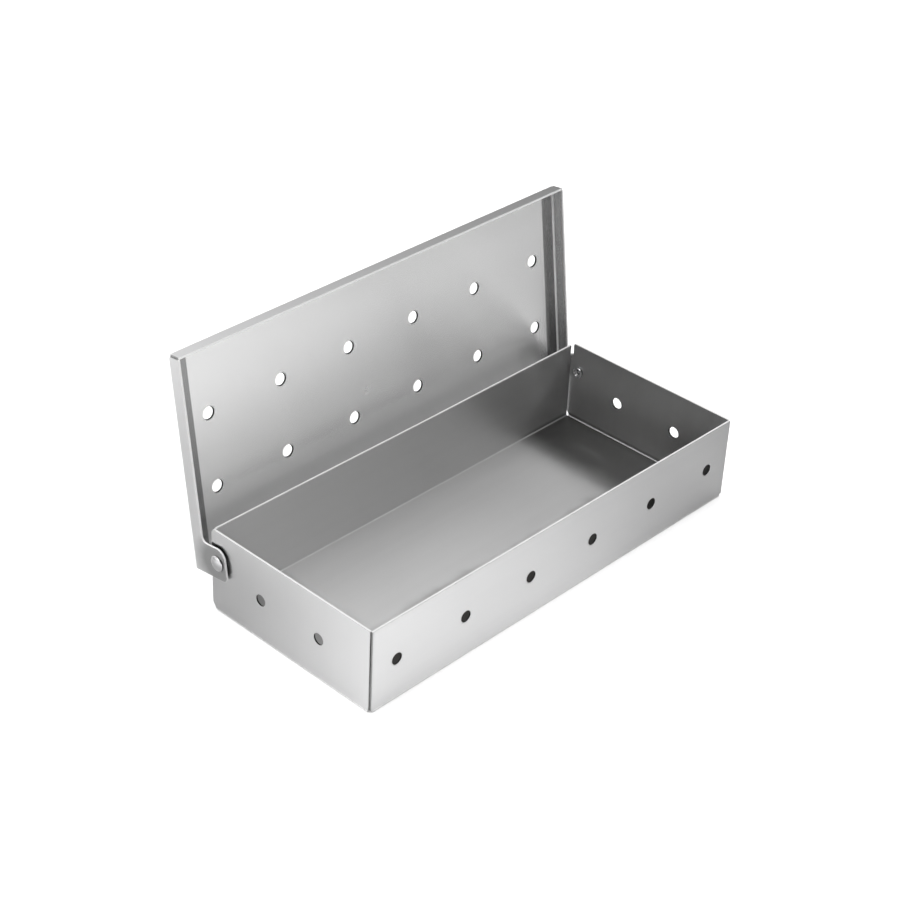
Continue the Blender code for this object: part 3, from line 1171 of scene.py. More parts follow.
def link(tree: bpy.types.NodeTree, source: bpy.types.NodeSocket, target: bpy.types.NodeSocket) -> None:
    """Joins two sockets."""
    tree.links.new(source, target)


def new_group(name: str, inputs: dict[str, tuple[str, float]], outputs: list[str]) -> tuple:
    """An empty shader node group.

    Args:
        name: Name of the group.
        inputs: Name to (socket type, default) of each input.
        outputs: Names of its float outputs.

    Returns:
        The tree, its input node and its output node.
    """
    tree = bpy.data.node_groups.new(name, "ShaderNodeTree")
    for label, (kind, default) in inputs.items():
        socket = tree.interface.new_socket(name=label, in_out="INPUT", socket_type=kind)
        if kind == "NodeSocketFloat":
            socket.default_value = default
    for label in outputs:
        tree.interface.new_socket(name=label, in_out="OUTPUT", socket_type="NodeSocketFloat")
    return tree, tree.nodes.new("NodeGroupInput"), tree.nodes.new("NodeGroupOutput")


def math_node(tree: bpy.types.NodeTree, operation: str, first: object, second: object = None,
              third: object = None, clamp: bool = False) -> bpy.types.NodeSocket:
    """A Math node fed by sockets or plain numbers.

    Args:
        tree: Tree to add it to.
        operation: Blender's name of the operation.
        first: First socket or number.
        second: Second one, if the operation has it.
        third: Third one.
        clamp: Whether the result is kept from 0 to 1.

    Returns:
        The node's output.
    """
    node = tree.nodes.new("ShaderNodeMath")
    node.operation = operation
    node.use_clamp = clamp
    for slot, value in enumerate((first, second, third)):
        if isinstance(value, bpy.types.NodeSocket):
            link(tree, value, node.inputs[slot])
        elif value is not None:
            node.inputs[slot].default_value = value
    return node.outputs[0]


def noise_node(tree: bpy.types.NodeTree, vector: bpy.types.NodeSocket, stretch: tuple,
               scale: float, detail: float, roughness: float = 0.5) -> bpy.types.NodeSocket:
    """Noise over a stretched coordinate.

    Args:
        tree: Tree to add it to.
        vector: Coordinate in metres.
        stretch: Factor on each of its three parts.
        scale: Noise scale.
        detail: Noise detail.
        roughness: Noise roughness.

    Returns:
        The noise value, about 0.5 on average.
    """
    stretched = tree.nodes.new("ShaderNodeVectorMath")
    stretched.operation = "MULTIPLY"
    stretched.inputs[1].default_value = stretch
    link(tree, vector, stretched.inputs[0])
    noise = tree.nodes.new("ShaderNodeTexNoise")
    noise.inputs["Scale"].default_value = scale
    noise.inputs["Detail"].default_value = detail
    noise.inputs["Roughness"].default_value = roughness
    link(tree, stretched.outputs[0], noise.inputs["Vector"])
    return noise.outputs[0]


def remap(tree: bpy.types.NodeTree, value: bpy.types.NodeSocket, low: float, high: float,
          new_low: float = 0.0, new_high: float = 1.0) -> bpy.types.NodeSocket:
    """Carries low..high smoothly onto new_low..new_high, and holds the ends outside."""
    node = tree.nodes.new("ShaderNodeMapRange")
    node.interpolation_type = "SMOOTHSTEP"
    for label, number in (("From Min", low), ("From Max", high), ("To Min", new_low), ("To Max", new_high)):
        node.inputs[label].default_value = number
    link(tree, value, node.inputs["Value"])
    return node.outputs[0]


def axis_distance(tree: bpy.types.NodeTree,
                  place: bpy.types.NodeSocket) -> tuple[bpy.types.NodeSocket, bpy.types.NodeSocket]:
    """X, and the distance from the hinge axis: the root of the summed squares of Y and Z off it.

    Args:
        tree: Tree to add the nodes to.
        place: Object coordinate.

    Returns:
        Both sockets.
    """
    axis = frame["joints"][0]["pos_m"]
    centred = tree.nodes.new("ShaderNodeMapping")
    centred.inputs["Location"].default_value = (0, -axis[1], -axis[2])
    link(tree, place, centred.inputs["Vector"])
    parts = tree.nodes.new("ShaderNodeSeparateXYZ")
    link(tree, centred.outputs["Vector"], parts.inputs["Vector"])
    squares = math_node(tree, "MULTIPLY_ADD", parts.outputs["Y"], parts.outputs["Y"],
                        math_node(tree, "MULTIPLY", parts.outputs["Z"], parts.outputs["Z"]))
    return parts.outputs["X"], math_node(tree, "SQRT", squares)


class Effects:
    """The shared effects of the finishes, each a node group that is built once."""

    def __init__(self) -> None:
        """Builds every group."""
        self.grain = self.rolled_grain()
        self.edge = self.cut_edge()
        self.handling = self.handling_marks()
        self.hinge_shade = self.painted_hinge_shade()
        self.reflection_band = self.painted_reflection_band()
        self.floor_shade = self.painted_floor_shade()

    @staticmethod
    def rolled_grain() -> bpy.types.NodeTree:
        """Fine lines along the blank's length: three noises stretched along X and then mixed."""
        tree, inward, outward = new_group(
            "Rolled grain", {"Blank": ("NodeSocketVector", 0.0)}, ["Lines", "Bands"])
        blank = inward.outputs["Blank"]
        fine = noise_node(tree, blank, (22, 5200, 1), 1.0, 3.0, 0.6)
        middle = noise_node(tree, blank, (9, 1300, 1), 1.0, 3.0, 0.55)
        bands = noise_node(tree, blank, (3, 170, 1), 1.0, 2.0, 0.5)
        mixed = math_node(tree, "MULTIPLY_ADD", fine, 0.55, math_node(tree, "MULTIPLY", middle, 0.45))
        link(tree, mixed, outward.inputs["Lines"])
        link(tree, bands, outward.inputs["Bands"])
        return tree

    @staticmethod
    def cut_edge() -> bpy.types.NodeTree:
        """Mask that is 1 at a cut edge and fades, unevenly, over the reach."""
        tree, inward, outward = new_group(
            "Cut edge",
            {
                "Distance": ("NodeSocketFloat", 1.0),
                "Reach": ("NodeSocketFloat", 0.0008),
                "Place": ("NodeSocketVector", 0.0),
            },
            ["Mask", "Wall"])
        uneven = noise_node(tree, inward.outputs["Place"], (1, 1, 1), 900.0, 3.0)
        reach = math_node(tree, "MULTIPLY", inward.outputs["Reach"],
                          math_node(tree, "MULTIPLY_ADD", uneven, 1.2, 0.4))
        share = math_node(tree, "DIVIDE", inward.outputs["Distance"], reach)
        mask = math_node(tree, "SUBTRACT", 1.0, share, clamp=True)
        link(tree, mask, outward.inputs["Mask"])
        wall = remap(tree, inward.outputs["Distance"], 0.00002, 0.00007, 1.0, 0.0)
        link(tree, wall, outward.inputs["Wall"])
        return tree

    @staticmethod
    def handling_marks() -> bpy.types.NodeTree:
        """Faint wiped smears, specks of dust and hair scratches over the whole piece."""
        tree, inward, outward = new_group(
            "Handling marks", {"Place": ("NodeSocketVector", 0.0)}, ["Smear", "Dust", "Scratch"])
        place = inward.outputs["Place"]
        cloud = noise_node(tree, place, (1, 1, 1), 26.0, 4.0, 0.55)
        wipe = noise_node(tree, place, (40, 130, 130), 1.0, 3.0, 0.6)
        smear = math_node(tree, "MULTIPLY", remap(tree, cloud, 0.47, 0.68), remap(tree, wipe, 0.35, 0.7))
        speck = noise_node(tree, place, (1, 1, 1), 2600.0, 2.0)
        scratch = noise_node(tree, place, (120, 900, 2300), 1.0, 2.0)
        link(tree, smear, outward.inputs["Smear"])
        link(tree, remap(tree, speck, 0.70, 0.76), outward.inputs["Dust"])
        link(tree, remap(tree, scratch, 0.715, 0.745), outward.inputs["Scratch"])
        return tree

    @staticmethod
    def painted_hinge_shade() -> bpy.types.NodeTree:
        """Mask of painted shade round the rivets, on the walls behind the ears and on the ears.

        It falls from 1 within Near of the hinge axis to 0 beyond Far, and is 0 wherever X is less
        than Least from the middle.
        """
        tree, inward, outward = new_group(
            "Painted hinge shade",
            {
                "Place": ("NodeSocketVector", 0.0),
                "Near": ("NodeSocketFloat", 0.006),
                "Far": ("NodeSocketFloat", 0.009),
                "Least": ("NodeSocketFloat", 0.0),
            },
            ["Mask"])
        along, distance = axis_distance(tree, inward.outputs["Place"])
        uneven = noise_node(tree, inward.outputs["Place"], (1, 1, 1), 420.0, 2.0)
        distance = math_node(tree, "MULTIPLY_ADD", uneven, 0.0016,
                             math_node(tree, "SUBTRACT", distance, 0.0008))
        span = math_node(tree, "SUBTRACT", inward.outputs["Far"], inward.outputs["Near"])
        left = math_node(tree, "SUBTRACT", inward.outputs["Far"], distance)
        near_axis = math_node(tree, "DIVIDE", left, span, clamp=True)
        ramp = 2000.0
        past = math_node(tree, "SUBTRACT", math_node(tree, "ABSOLUTE", along), inward.outputs["Least"])
        at_end = math_node(tree, "MULTIPLY", past, ramp, clamp=True)
        link(tree, math_node(tree, "MULTIPLY", near_axis, at_end), outward.inputs["Mask"])
        return tree

    @staticmethod
    def painted_floor_shade() -> bpy.types.NodeTree:
        """Mask of painted shade on the tray's floor, along the front and at both ends.

        It is the greater of two smooth steps, one down along Y and one up along the distance from
        the middle, both led astray by a slow noise, and it ends a few millimetres above the floor.
        """
        tree, inward, outward = new_group("Painted floor shade", {"Place": ("NodeSocketVector", 0.0)}, ["Mask"])
        place = inward.outputs["Place"]
        parts = tree.nodes.new("ShaderNodeSeparateXYZ")
        link(tree, place, parts.inputs["Vector"])
        drift = math_node(tree, "MULTIPLY", noise_node(tree, place, (1, 1, 1), 38.0, 3.0), 0.012)
        across = math_node(tree, "ADD", parts.outputs["Y"], drift)
        along = math_node(tree, "ADD", math_node(tree, "ABSOLUTE", parts.outputs["X"]), drift)
        front = remap(tree, across, -0.014, 0.000, 1, 0)
        ends = remap(tree, along, 0.076, 0.094, 0, 0.6)
        low = remap(tree, parts.outputs["Z"], 0.0012, 0.0035, 1, 0)
        mask = math_node(tree, "MULTIPLY", math_node(tree, "MAXIMUM", front, ends), low)
        link(tree, mask, outward.inputs["Mask"])
        return tree

    @staticmethod
    def painted_reflection_band() -> bpy.types.NodeTree:
        """Masks of a painted reflection and a painted highlight: a dark band at both ends, where the side
        flanges are mirrored in the lid's plate, and the folds past it.

        The band is 1 between the distances Start and End from the blank's middle, along X, with
        sharp edges. The folds' mask is 1 over the next 1.3 mm.
        """
        tree, inward, outward = new_group(
            "Painted reflection band",
            {
                "Blank": ("NodeSocketVector", 0.0),
                "Start": ("NodeSocketFloat", 0.0),
                "End": ("NodeSocketFloat", 0.0),
            },
            ["Pressed", "Fold glint"])
        parts = tree.nodes.new("ShaderNodeSeparateXYZ")
        link(tree, inward.outputs["Blank"], parts.inputs["Vector"])
        along = math_node(tree, "ABSOLUTE", parts.outputs["X"])
        ramp = 4000.0
        fold_width = 0.0013
        past_start = math_node(tree, "SUBTRACT", along, inward.outputs["Start"])
        before_end = math_node(tree, "SUBTRACT", inward.outputs["End"], along)
        rise = math_node(tree, "MULTIPLY", past_start, ramp, clamp=True)
        fall = math_node(tree, "MULTIPLY", before_end, ramp, clamp=True)
        last = math_node(tree, "MULTIPLY", math_node(tree, "ADD", before_end, fold_width), ramp, clamp=True)
        link(tree, math_node(tree, "MULTIPLY", rise, fall), outward.inputs["Pressed"])
        link(tree, math_node(tree, "SUBTRACT", last, fall), outward.inputs["Fold glint"])
        return tree


@dataclass(frozen=True)
class SteelFinish:
    """Bare stainless steel.

    Attributes:
        name: Name of the material.
        colour: Reflected colour.
        shade: Colour of the darker bands and smears.
        matt_rim_and_highlight_colour: Colour of deburred rims, which are matt; made pale, it is partly
            painted highlight.
        torn_edge_shade_colour: Colour of torn edges, inside the vents and at the closed corners, painted near
            black as shade.
        fold_highlight_colour: Colour of the folds, a painted highlight along each fold.
        hinge_shade_colour: Colour of the painted shade round the rivets.
        hinge_shade_reach: From the hinge axis to where that painted shade is full and to where it ends.
        hinge_shade_share: How strong that painted shade is.
        hinge_shade_least: Distance from the box's middle, along X, that it keeps outside of.
        plate_shade_reach: The same for the painted shade that darkens the lid's plate towards the hinge and
            fades out up the plate.
        plate_shade_share: How strong that is.
        floor_shade_colour: Colour of the painted shade on the tray's floor.
        floor_shade_share: How strong that is.
        reflection_band_reach: Where the painted reflection band starts and ends, from the blank's middle.
        reflection_band_colour: Colour of the painted reflection band.
        metallic: How metallic the surface is; less looks more blasted than polished.
        roughness: Base roughness.
        grain_roughness: How much the grain's lines add.
        smear_roughness: How much smears add.
        edge_roughness: Roughness at cut edges.
        fold_roughness: Roughness in the middle of a fold.
        fold_metallic: How metallic the middle of a fold still looks.
        edge_metallic: How metallic a deburred rim still looks.
        grain_height: Relief of the grain's lines, in metres.
        anisotropy: How far gloss is spread across the grain.
    """

    name: str
    colour: tuple[float, float, float] = (0.74, 0.74, 0.74)
    shade: tuple[float, float, float] = (0.70, 0.70, 0.705)
    matt_rim_and_highlight_colour: tuple[float, float, float] = (0.68, 0.68, 0.68)
    torn_edge_shade_colour: tuple[float, float, float] = (0.05, 0.05, 0.05)
    fold_highlight_colour: tuple[float, float, float] = (0.95, 0.95, 0.95)
    hinge_shade_colour: tuple[float, float, float] = (0.10, 0.10, 0.10)
    hinge_shade_reach: tuple[float, float] = (0.006, 0.009)
    hinge_shade_share: float = 0.0
    hinge_shade_least: float = 0.1087
    plate_shade_reach: tuple[float, float] = (0.014, 0.034)
    plate_shade_share: float = 0.0
    floor_shade_colour: tuple[float, float, float] = (0.030, 0.028, 0.026)
    floor_shade_share: float = 0.0
    reflection_band_reach: tuple[float, float] = (1.0, 1.1)
    reflection_band_colour: tuple[float, float, float] = (0.34, 0.34, 0.34)
    metallic: float = 1.0
    roughness: float = 0.26
    grain_roughness: float = 0.08
    smear_roughness: float = 0.02
    edge_roughness: float = 0.50
    fold_roughness: float = 0.46
    fold_metallic: float = 0.85
    edge_metallic: float = 0.15
    grain_height: float = 0.0000006
    anisotropy: float = 1.0

    def build(self, effects: Effects) -> bpy.types.Material:
        """Wires the shared effects to one Principled shader.

        Args:
            effects: The shared node groups.

        Returns:
            The material.
        """
        material = bpy.data.materials.new(self.name)
        material.use_nodes = True
        tree = material.node_tree
        shader = tree.nodes["Principled BSDF"]
        if self.anisotropy:
            self.brush(tree, shader)
        coordinates = tree.nodes.new("ShaderNodeTexCoord")
        place = coordinates.outputs["Object"]
        blank = self.grain_coordinate(tree, coordinates)
        grain = self.placed(tree, effects.grain, {"Blank": blank})
        marks = self.placed(tree, effects.handling, {"Place": place})
        edge = self.placed(tree, effects.edge, {
            "Distance": self.attribute(tree, "edge_distance"),
            "Place": place,
        })
        hinge_shade = self.placed(tree, effects.hinge_shade, {"Place": place}, {
            "Near": self.hinge_shade_reach[0],
            "Far": self.hinge_shade_reach[1],
            "Least": self.hinge_shade_least,
        })
        plate_shade = self.placed(tree, effects.hinge_shade, {"Place": place}, {
            "Near": self.plate_shade_reach[0],
            "Far": self.plate_shade_reach[1],
            "Least": -1.0,
        })
        reflection_band = self.placed(tree, effects.reflection_band, {"Blank": blank}, {
            "Start": self.reflection_band_reach[0],
            "End": self.reflection_band_reach[1],
        })
        sheared = self.attribute(tree, "sheared")
        fold = math_node(tree, "MAXIMUM", self.attribute(tree, "fold"), reflection_band["Fold glint"])

        darker = math_node(tree, "MULTIPLY_ADD", grain["Bands"], 0.7,
                           math_node(tree, "MULTIPLY", marks["Smear"], 0.15), clamp=True)
        body = self.mixed(tree, darker, self.colour, self.shade)
        # Painted shade round the rivets, and on the lid's plate towards the hinge.
        hinge_shading = math_node(tree, "MULTIPLY", hinge_shade["Mask"], self.hinge_shade_share)
        plate_shade = math_node(tree, "MULTIPLY", plate_shade["Mask"], self.plate_shade_share)
        # Painted shade on the tray's floor, along the front and at both ends.
        floor_shade = self.placed(tree, effects.floor_shade, {"Place": place})
        floor_shaded = math_node(tree, "MULTIPLY", floor_shade["Mask"], self.floor_shade_share)
        body = self.mixed(tree, floor_shaded, body, self.floor_shade_colour)
        # Painted reflection: a dark band near both ends of the lid's plate.
        body = self.mixed(tree, reflection_band["Pressed"], body, self.reflection_band_colour)
        # Painted highlight along the folds.
        body = self.mixed(tree, fold, body, self.fold_highlight_colour)
        body = self.mixed(tree, math_node(tree, "MAXIMUM", hinge_shading, plate_shade), body, self.hinge_shade_colour)
        # Rims: pale and matt, partly painted highlight; torn edges painted near black as shade.
        cut = self.mixed(tree, sheared, self.matt_rim_and_highlight_colour, self.torn_edge_shade_colour)
        colour = self.mixed(tree, edge["Wall"], body, cut)
        link(tree, colour, shader.inputs["Base Color"])

        deburred = math_node(tree, "MULTIPLY", edge["Wall"], math_node(tree, "SUBTRACT", 1.0, sheared))
        metallic = math_node(tree, "MULTIPLY_ADD", reflection_band["Pressed"], 1 - self.metallic, self.metallic)
        metallic = math_node(tree, "MULTIPLY_ADD", fold, self.fold_metallic - self.metallic, metallic)
        metallic = math_node(tree, "MULTIPLY_ADD", deburred, self.edge_metallic - self.metallic, metallic)
        link(tree, metallic, shader.inputs["Metallic"])

        rough = math_node(tree, "MULTIPLY_ADD", grain["Lines"], self.grain_roughness, self.roughness)
        rough = math_node(tree, "MULTIPLY_ADD", marks["Smear"], self.smear_roughness, rough)
        rough = math_node(tree, "MULTIPLY_ADD", marks["Dust"], 0.06, rough)
        extra = self.edge_roughness - self.roughness
        rough = math_node(tree, "MULTIPLY_ADD", edge["Mask"], extra, rough)
        rough = math_node(tree, "MULTIPLY_ADD", fold, self.fold_roughness - self.roughness, rough)
        link(tree, rough, shader.inputs["Roughness"])

        relief = math_node(tree, "MULTIPLY_ADD", marks["Scratch"], -0.6, grain["Lines"])
        bump = tree.nodes.new("ShaderNodeBump")
        bump.inputs["Strength"].default_value = 1.0
        bump.inputs["Distance"].default_value = self.grain_height
        link(tree, relief, bump.inputs["Height"])
        link(tree, bump.outputs["Normal"], shader.inputs["Normal"])
        return material

    def grain_coordinate(self, tree: bpy.types.NodeTree, coordinates: bpy.types.Node) -> bpy.types.NodeSocket:
        """The coordinate that the grain follows: the unfolded blank."""
        blank = tree.nodes.new("ShaderNodeUVMap")
        blank.uv_map = "Blank"
        return blank.outputs["UV"]

    def brush(self, tree: bpy.types.NodeTree, shader: bpy.types.Node) -> None:
        """Spreads the gloss across the grain, which runs along the blank's X."""
        along = tree.nodes.new("ShaderNodeTangent")
        along.direction_type = "UV_MAP"
        along.uv_map = "Blank"
        link(tree, along.outputs["Tangent"], shader.inputs["Tangent"])
        shader.inputs["Anisotropic"].default_value = self.anisotropy
        shader.inputs["Anisotropic Rotation"].default_value = 0.25

    @staticmethod
    def attribute(tree: bpy.types.NodeTree, name: str) -> bpy.types.NodeSocket:
        """The value of a piece's attribute, 0 where it has none of that name."""
        node = tree.nodes.new("ShaderNodeAttribute")
        node.attribute_name = name
        return node.outputs["Fac"]

    @staticmethod
    def placed(tree: bpy.types.NodeTree, group: bpy.types.NodeTree,
               sockets: dict[str, bpy.types.NodeSocket],
               numbers: dict[str, float] | None = None) -> bpy.types.bpy_prop_collection:
        """Adds a shared group with its own values.

        Args:
            tree: The material's tree.
            group: The shared group.
            sockets: What each linked input reads.
            numbers: What each plain input is set to.

        Returns:
            The group's outputs.
        """
        node = tree.nodes.new("ShaderNodeGroup")
        node.node_tree = group
        for label, source in sockets.items():
            link(tree, source, node.inputs[label])
        for label, number in (numbers or {}).items():
            node.inputs[label].default_value = number
        return node.outputs

    @staticmethod
    def mixed(tree: bpy.types.NodeTree, share: bpy.types.NodeSocket, first: object,
              second: object) -> bpy.types.NodeSocket:
        """Blend of two colours, each a socket or three numbers."""
        node = tree.nodes.new("ShaderNodeMix")
        node.data_type = "RGBA"
        link(tree, share, node.inputs["Factor"])
        for socket, value in ((node.inputs[6], first), (node.inputs[7], second)):
            if isinstance(value, bpy.types.NodeSocket):
                link(tree, value, socket)
            else:
                socket.default_value = (*value, 1.0)
        return node.outputs[2]


@dataclass(frozen=True)
class TurnedFinish(SteelFinish):
    """Cold-formed steel of the rivets and washers, with its marks running round the axis."""

    def grain_coordinate(self, tree: bpy.types.NodeTree, coordinates: bpy.types.Node) -> bpy.types.NodeSocket:
        """Rings about the hinge axis: X and the distance from the axis take the blank's place."""
        along, distance = axis_distance(tree, coordinates.outputs["Object"])
        rings = tree.nodes.new("ShaderNodeCombineXYZ")
        link(tree, along, rings.inputs["X"])
        link(tree, distance, rings.inputs["Y"])
        return rings.outputs["Vector"]


@dataclass(frozen=True)
class Camera:
    """The viewpoint of the photograph, worked out from the box's corners in a 900 pixel frame.

    Attributes:
        eye: Place of the lens.
        right: Direction of the picture's right side.
        up: Direction of its top.
        back: Direction from the object to the lens.
        focal_px: Focal length in pixels.
        centre_px: Pixel that the lens looks straight at.
        frame_px: Width and height of the frame.
        sensor: Sensor width in millimetres.
    """

    eye: tuple[float, float, float] = (-0.53898, -0.47282, 0.51761)
    right: tuple[float, float, float] = (0.700606, -0.712718, 0.034418)
    up: tuple[float, float, float] = (0.369596, 0.403730, 0.836900)
    back: tuple[float, float, float] = (-0.610369, -0.573616, 0.546273)
    focal_px: float = 2055.44
    centre_px: tuple[float, float] = (425.30, 448.16)
    frame_px: float = 900.0
    sensor: float = 36.0

    def build(self) -> bpy.types.Object:
        """Sets the scene's camera."""
        data = bpy.data.cameras.new("photo_camera")
        data.sensor_fit = "HORIZONTAL"
        data.sensor_width = self.sensor
        data.lens = self.focal_px * self.sensor / self.frame_px
        middle = (self.frame_px - 1) / 2
        data.shift_x = (middle - self.centre_px[0]) / self.frame_px
        data.shift_y = (self.centre_px[1] - middle) / self.frame_px
        data.clip_start = 0.01
        data.clip_end = 50
        camera = bpy.data.objects.new("photo_camera", data)
        bpy.context.scene.collection.objects.link(camera)
        turn = Matrix((self.right, self.up, self.back)).transposed().to_4x4()
        turn.translation = self.eye
        camera.matrix_world = turn
        bpy.context.scene.camera = camera
        return camera


@dataclass(frozen=True)
class SoftLight:
    """A square area light.

    Attributes:
        name: Its name.
        place: Where it hangs.
        size: Side of the square.
        power: Watts.
    """

    name: str
    place: tuple[float, float, float]
    size: float
    power: float

    def build(self) -> None:
        """Hangs the light so that it faces the box."""
        data = bpy.data.lights.new(self.name, "AREA")
        data.shape = "SQUARE"
        data.size = self.size
        data.energy = self.power
        lamp = bpy.data.objects.new(self.name, data)
        bpy.context.scene.collection.objects.link(lamp)
        lamp.location = self.place
        aim = -lamp.location
        lamp.rotation_euler = aim.to_track_quat("-Z", "Y").to_euler()


@dataclass(frozen=True)
class PaintedShadePatch:
    """A soft oval patch of shade painted into the floor's colour, as a flag beside the table would throw it.

    Attributes:
        centre: Its middle, X and Y.
        reach: Where it has faded out, along X and along Y.
        depth: Share of the light that it takes at its middle.
    """

    centre: tuple[float, float]
    reach: tuple[float, float]
    depth: float


@dataclass(frozen=True)
class Flag:
    """A direction in which something dark and soft-edged stands in the pale surroundings.

    Attributes:
        bearing: Angle of the direction from +X, in degrees, seen from above.
        height: Angle above the horizon, in degrees.
        start: Angle from it, in degrees, where the darkening starts.
        full: Angle from it where it is full.
        depth: Share of the light that it takes there.
    """

    bearing: float
    height: float
    start: float
    full: float
    depth: float


@dataclass(frozen=True)
class Studio:
    """Pale floor, pale surroundings with dark flags, and a soft light overhead.

    The camera sees plain pale paper. The steel sees the same paper with soft patches of shade, as
    if flags stood beside the table, which gives the mirror-like sheets their tones.

    Attributes:
        floor_size: Side of the floor.
        paper: Brightness of the paper.
        glow: Light that the paper adds of its own for the camera, which thins out the box's shadow.
        surround: Strength of the surroundings.
        flags: What stands dark in them.
        patches: Patches of shade painted into the floor's colour.
        lights: The soft lights.
    """

    floor_size: float = 8.0
    paper: float = 0.97
    glow: float = 0.12
    surround: float = 1.55
    flags: tuple[Flag, ...] = (
        Flag(20, 5, 48, 25, 0.9),
        Flag(-35, 20, 30, 10, 0.95),
        Flag(-140, 20, 85, 20, 0.9),
    )
    patches: tuple[PaintedShadePatch, ...] = (
        PaintedShadePatch((0.140, -0.095), (0.220, 0.065), 0.58),
        PaintedShadePatch((0.105, -0.040), (0.110, 0.043), 0.50),
        PaintedShadePatch((0.210, -0.040), (0.100, 0.090), 0.82),
        PaintedShadePatch((0.460, -0.150), (0.400, 0.400), 0.95),
        PaintedShadePatch((-0.130, 0.060), (0.075, 0.140), 0.54),
        PaintedShadePatch((-0.190, 0.140), (0.065, 0.060), 0.60),
        PaintedShadePatch((-0.250, 0.200), (0.250, 0.250), 0.35),
        PaintedShadePatch((-0.165, -0.200), (0.150, 0.150), 0.92),
    )
    lights: tuple[SoftLight, ...] = (
        SoftLight("top", (-0.2, -0.2, 1.9), 1.7, 22.0),
        SoftLight("card", (-0.85, 0.22, 0.26), 0.34, 1.5),
    )

    def build(self) -> None:
        """Sets up the world, the lights, the floor and the picture's tone curve."""
        bpy.context.scene.view_settings.view_transform = "Standard"
        self.world()
        for light in self.lights:
            light.build()
        self.floor()

    def world(self) -> None:
        """Surroundings that each flag dims by the cosine of the angle to its direction."""
        world = bpy.data.worlds.new("studio")
        world.use_nodes = True
        tree = world.node_tree
        direction = tree.nodes.new("ShaderNodeTexCoord").outputs["Generated"]
        strength = self.surround
        for flag in self.flags:
            bearing, height = math.radians(flag.bearing), math.radians(flag.height)
            towards = tree.nodes.new("ShaderNodeVectorMath")
            towards.operation = "DOT_PRODUCT"
            link(tree, direction, towards.inputs[0])
            level = math.cos(height)
            middle = (level * math.cos(bearing), level * math.sin(bearing), math.sin(height))
            towards.inputs[1].default_value = middle
            start, full = math.cos(math.radians(flag.start)), math.cos(math.radians(flag.full))
            share = remap(tree, towards.outputs["Value"], start, full, 1, 1 - flag.depth)
            strength = math_node(tree, "MULTIPLY", share, strength)
        seen = tree.nodes.new("ShaderNodeLightPath").outputs["Is Camera Ray"]
        background = tree.nodes["Background"]
        background.inputs["Color"].default_value = (1, 1, 1, 1)
        link(tree, math_node(tree, "MAXIMUM", strength, seen), background.inputs["Strength"])
        bpy.context.scene.world = world

    def floor(self) -> bpy.types.Object:
        """A level sheet of pale paper under the box."""
        half = self.floor_size / 2
        u, v = np.meshgrid(np.linspace(-half, half, 9), np.linspace(-half, half, 9), indexing="ij")
        number = np.arange(u.size).reshape(u.shape)
        faces = np.stack([number[:-1, :-1], number[1:, :-1], number[1:, 1:], number[:-1, 1:]], -1)
        points = np.stack([u.ravel(), v.ravel(), np.zeros(u.size)], -1)
        mesh = mesh_of("studio_floor", points, faces.reshape(-1, 4))
        mesh.materials.append(self.paper_finish())
        floor = bpy.data.objects.new("studio_floor", mesh)
        bpy.context.scene.collection.objects.link(floor)
        return floor

    def paper_finish(self) -> bpy.types.Material:
        """Matt paper; each patch paints shade into the colour that the steel sees, fading with distance."""
        paper = bpy.data.materials.new("Pale paper")
        paper.use_nodes = True
        tree = paper.node_tree
        shader = tree.nodes["Principled BSDF"]
        shader.inputs["Roughness"].default_value = 0.9
        shader.inputs["Specular IOR Level"].default_value = 0.0
        place = tree.nodes.new("ShaderNodeTexCoord").outputs["Object"]
        tone = None
        for patch in self.patches:
            scaled = tree.nodes.new("ShaderNodeMapping")
            scaled.vector_type = "TEXTURE"
            scaled.inputs["Location"].default_value = (*patch.centre, 0)
            scaled.inputs["Scale"].default_value = (*patch.reach, 1)
            link(tree, place, scaled.inputs["Vector"])
            distance = tree.nodes.new("ShaderNodeVectorMath")
            distance.operation = "LENGTH"
            link(tree, scaled.outputs["Vector"], distance.inputs[0])
            share = remap(tree, distance.outputs["Value"], 0, 1, 1 - patch.depth, 1)
            tone = share if tone is None else math_node(tree, "MULTIPLY", tone, share)
        seen = tree.nodes.new("ShaderNodeLightPath").outputs["Is Camera Ray"]
        tone = math_node(tree, "MAXIMUM", tone, seen)
        tone = math_node(tree, "MULTIPLY", tone, self.paper)
        grey = tree.nodes.new("ShaderNodeCombineColor")
        for part in ("Red", "Green", "Blue"):
            link(tree, tone, grey.inputs[part])
        link(tree, grey.outputs["Color"], shader.inputs["Base Color"])
        shader.inputs["Emission Color"].default_value = (1, 1, 1, 1)
        link(tree, math_node(tree, "MULTIPLY", seen, self.glow), shader.inputs["Emission Strength"])
        return paper


def finish_piece(piece: bpy.types.Object, materials: list[bpy.types.Material], body: Body, node: str) -> None:
    """Dresses a piece, puts it in its node's place and reports it.

    Args:
        piece: The new piece.
        materials: Its finish, and where it has one of its own, its inside's.
        body: Body that it rides on.
        node: CAD node that it stands for.
    """
    for material in materials:
        piece.data.materials.append(material)
    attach(piece, body.value)
    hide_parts(node)
    LOG.info("%s stands for %s: %d faces", piece.name, node, len(piece.data.polygons))


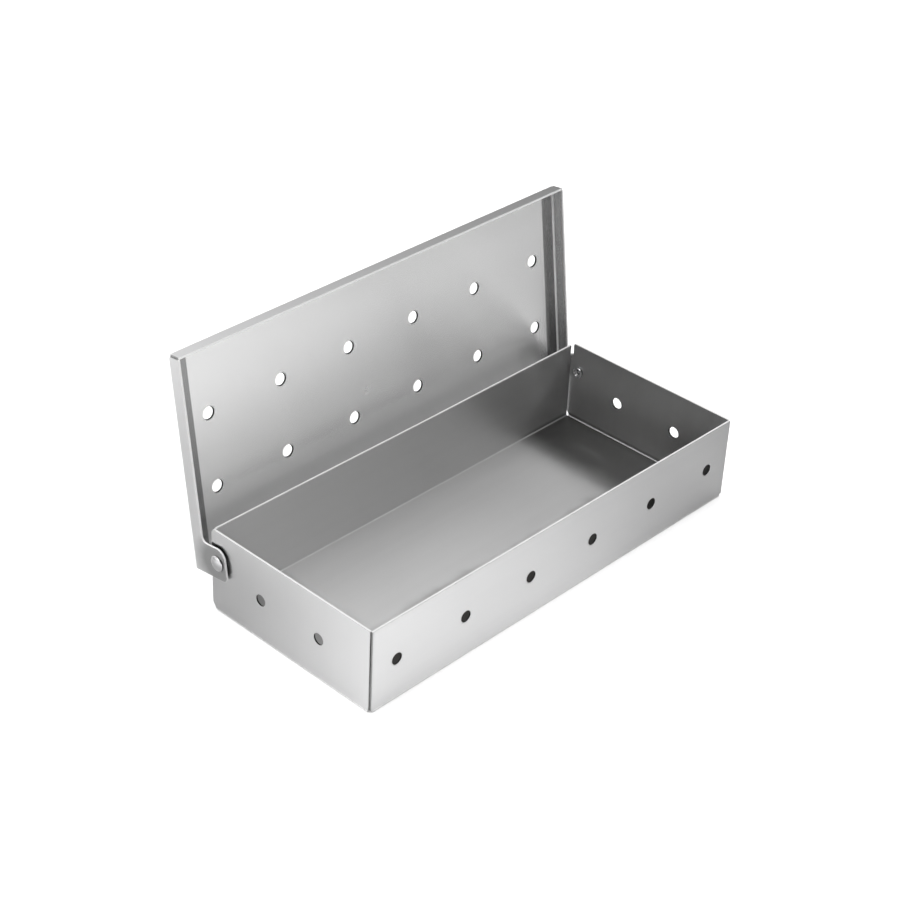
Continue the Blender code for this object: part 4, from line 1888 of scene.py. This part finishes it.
def main() -> None:
    """Builds the box's pieces in order, then the studio."""
    logging.basicConfig(level=logging.INFO, format="%(name)s: %(message)s")
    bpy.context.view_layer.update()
    low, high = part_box("tray")
    axis = frame["joints"][0]["pos_m"]
    tray = Tray(np.array(low), np.array(high), axis[1], axis[2])
    lid = Lid(tray)
    effects = Effects()
    # Tray outside: painted shade on the end walls round the rivets, behind the ears.
    tray_steel = SteelFinish("Tray steel", hinge_shade_reach=(0.0062, 0.0070), hinge_shade_share=0.8).build(effects)
    # Tray inside: a darker copy of the steel, painted shade, with more painted shade on the floor along the
    # front and at both ends.
    shaded_tray_inside_steel = SteelFinish("Tray inside steel, painted darker", colour=(0.64, 0.64, 0.64), shade=(0.59, 0.59, 0.59),
                               fold_highlight_colour=(0.70, 0.70, 0.70), roughness=0.32,
                               floor_shade_share=0.97).build(effects)
    # Lid outside: painted shade on the ears round the rivets, and pale rims that are partly painted
    # highlight.
    lid_steel = SteelFinish("Lid steel", colour=(0.70, 0.70, 0.70), shade=(0.66, 0.66, 0.665),
                            matt_rim_and_highlight_colour=(0.90, 0.90, 0.90),
                            hinge_shade_reach=(0.0075, 0.0140), hinge_shade_share=0.55).build(effects)
    # Lid inside: a lighter, less metallic copy of the lid's steel, painted light on the plate; painted shade
    # on the ears and towards the hinge, a painted reflection band near both ends and painted highlights on
    # the folds.
    lightened_lid_inside_steel = SteelFinish("Lid inside steel, painted lighter", metallic=0.75, colour=(0.95, 0.95, 0.95),
                                   shade=(0.91, 0.91, 0.91), hinge_shade_reach=(0.0085, 0.0105),
                                   hinge_shade_share=0.95, plate_shade_share=0.3, roughness=0.24,
                                   matt_rim_and_highlight_colour=(0.90, 0.90, 0.90), grain_roughness=0.03,
                                   grain_height=0.00000030, fold_metallic=0.0,
                                   fold_highlight_colour=(1.0, 1.0, 1.0),
                                   reflection_band_reach=(0.1037, 0.1117)).build(effects)
    rivet_steel = TurnedFinish("Rivet steel", colour=(0.60, 0.60, 0.605), roughness=0.1,
                               anisotropy=0.0).build(effects)
    spacer_steel = TurnedFinish("Spacer steel", colour=(0.6, 0.6, 0.6), roughness=0.38,
                                anisotropy=0.0).build(effects)
    finish_piece(tray.build(), [tray_steel, shaded_tray_inside_steel], Body.BASE, "tray")
    finish_piece(lid.build(), [lid_steel, lightened_lid_inside_steel], Body.COVER, "lid")
    for side in Side:
        rivet = Rivet(tray, side).build()
        finish_piece(rivet, [rivet_steel], Body.BASE, f"hinge_rivet_{side.word}")
        spacer = Spacer(tray, side).build()
        finish_piece(spacer, [spacer_steel], Body.BASE, f"hinge_spacer_{side.word}")
    Camera().build()
    Studio().build()


if __name__ == "__main__":
    main()
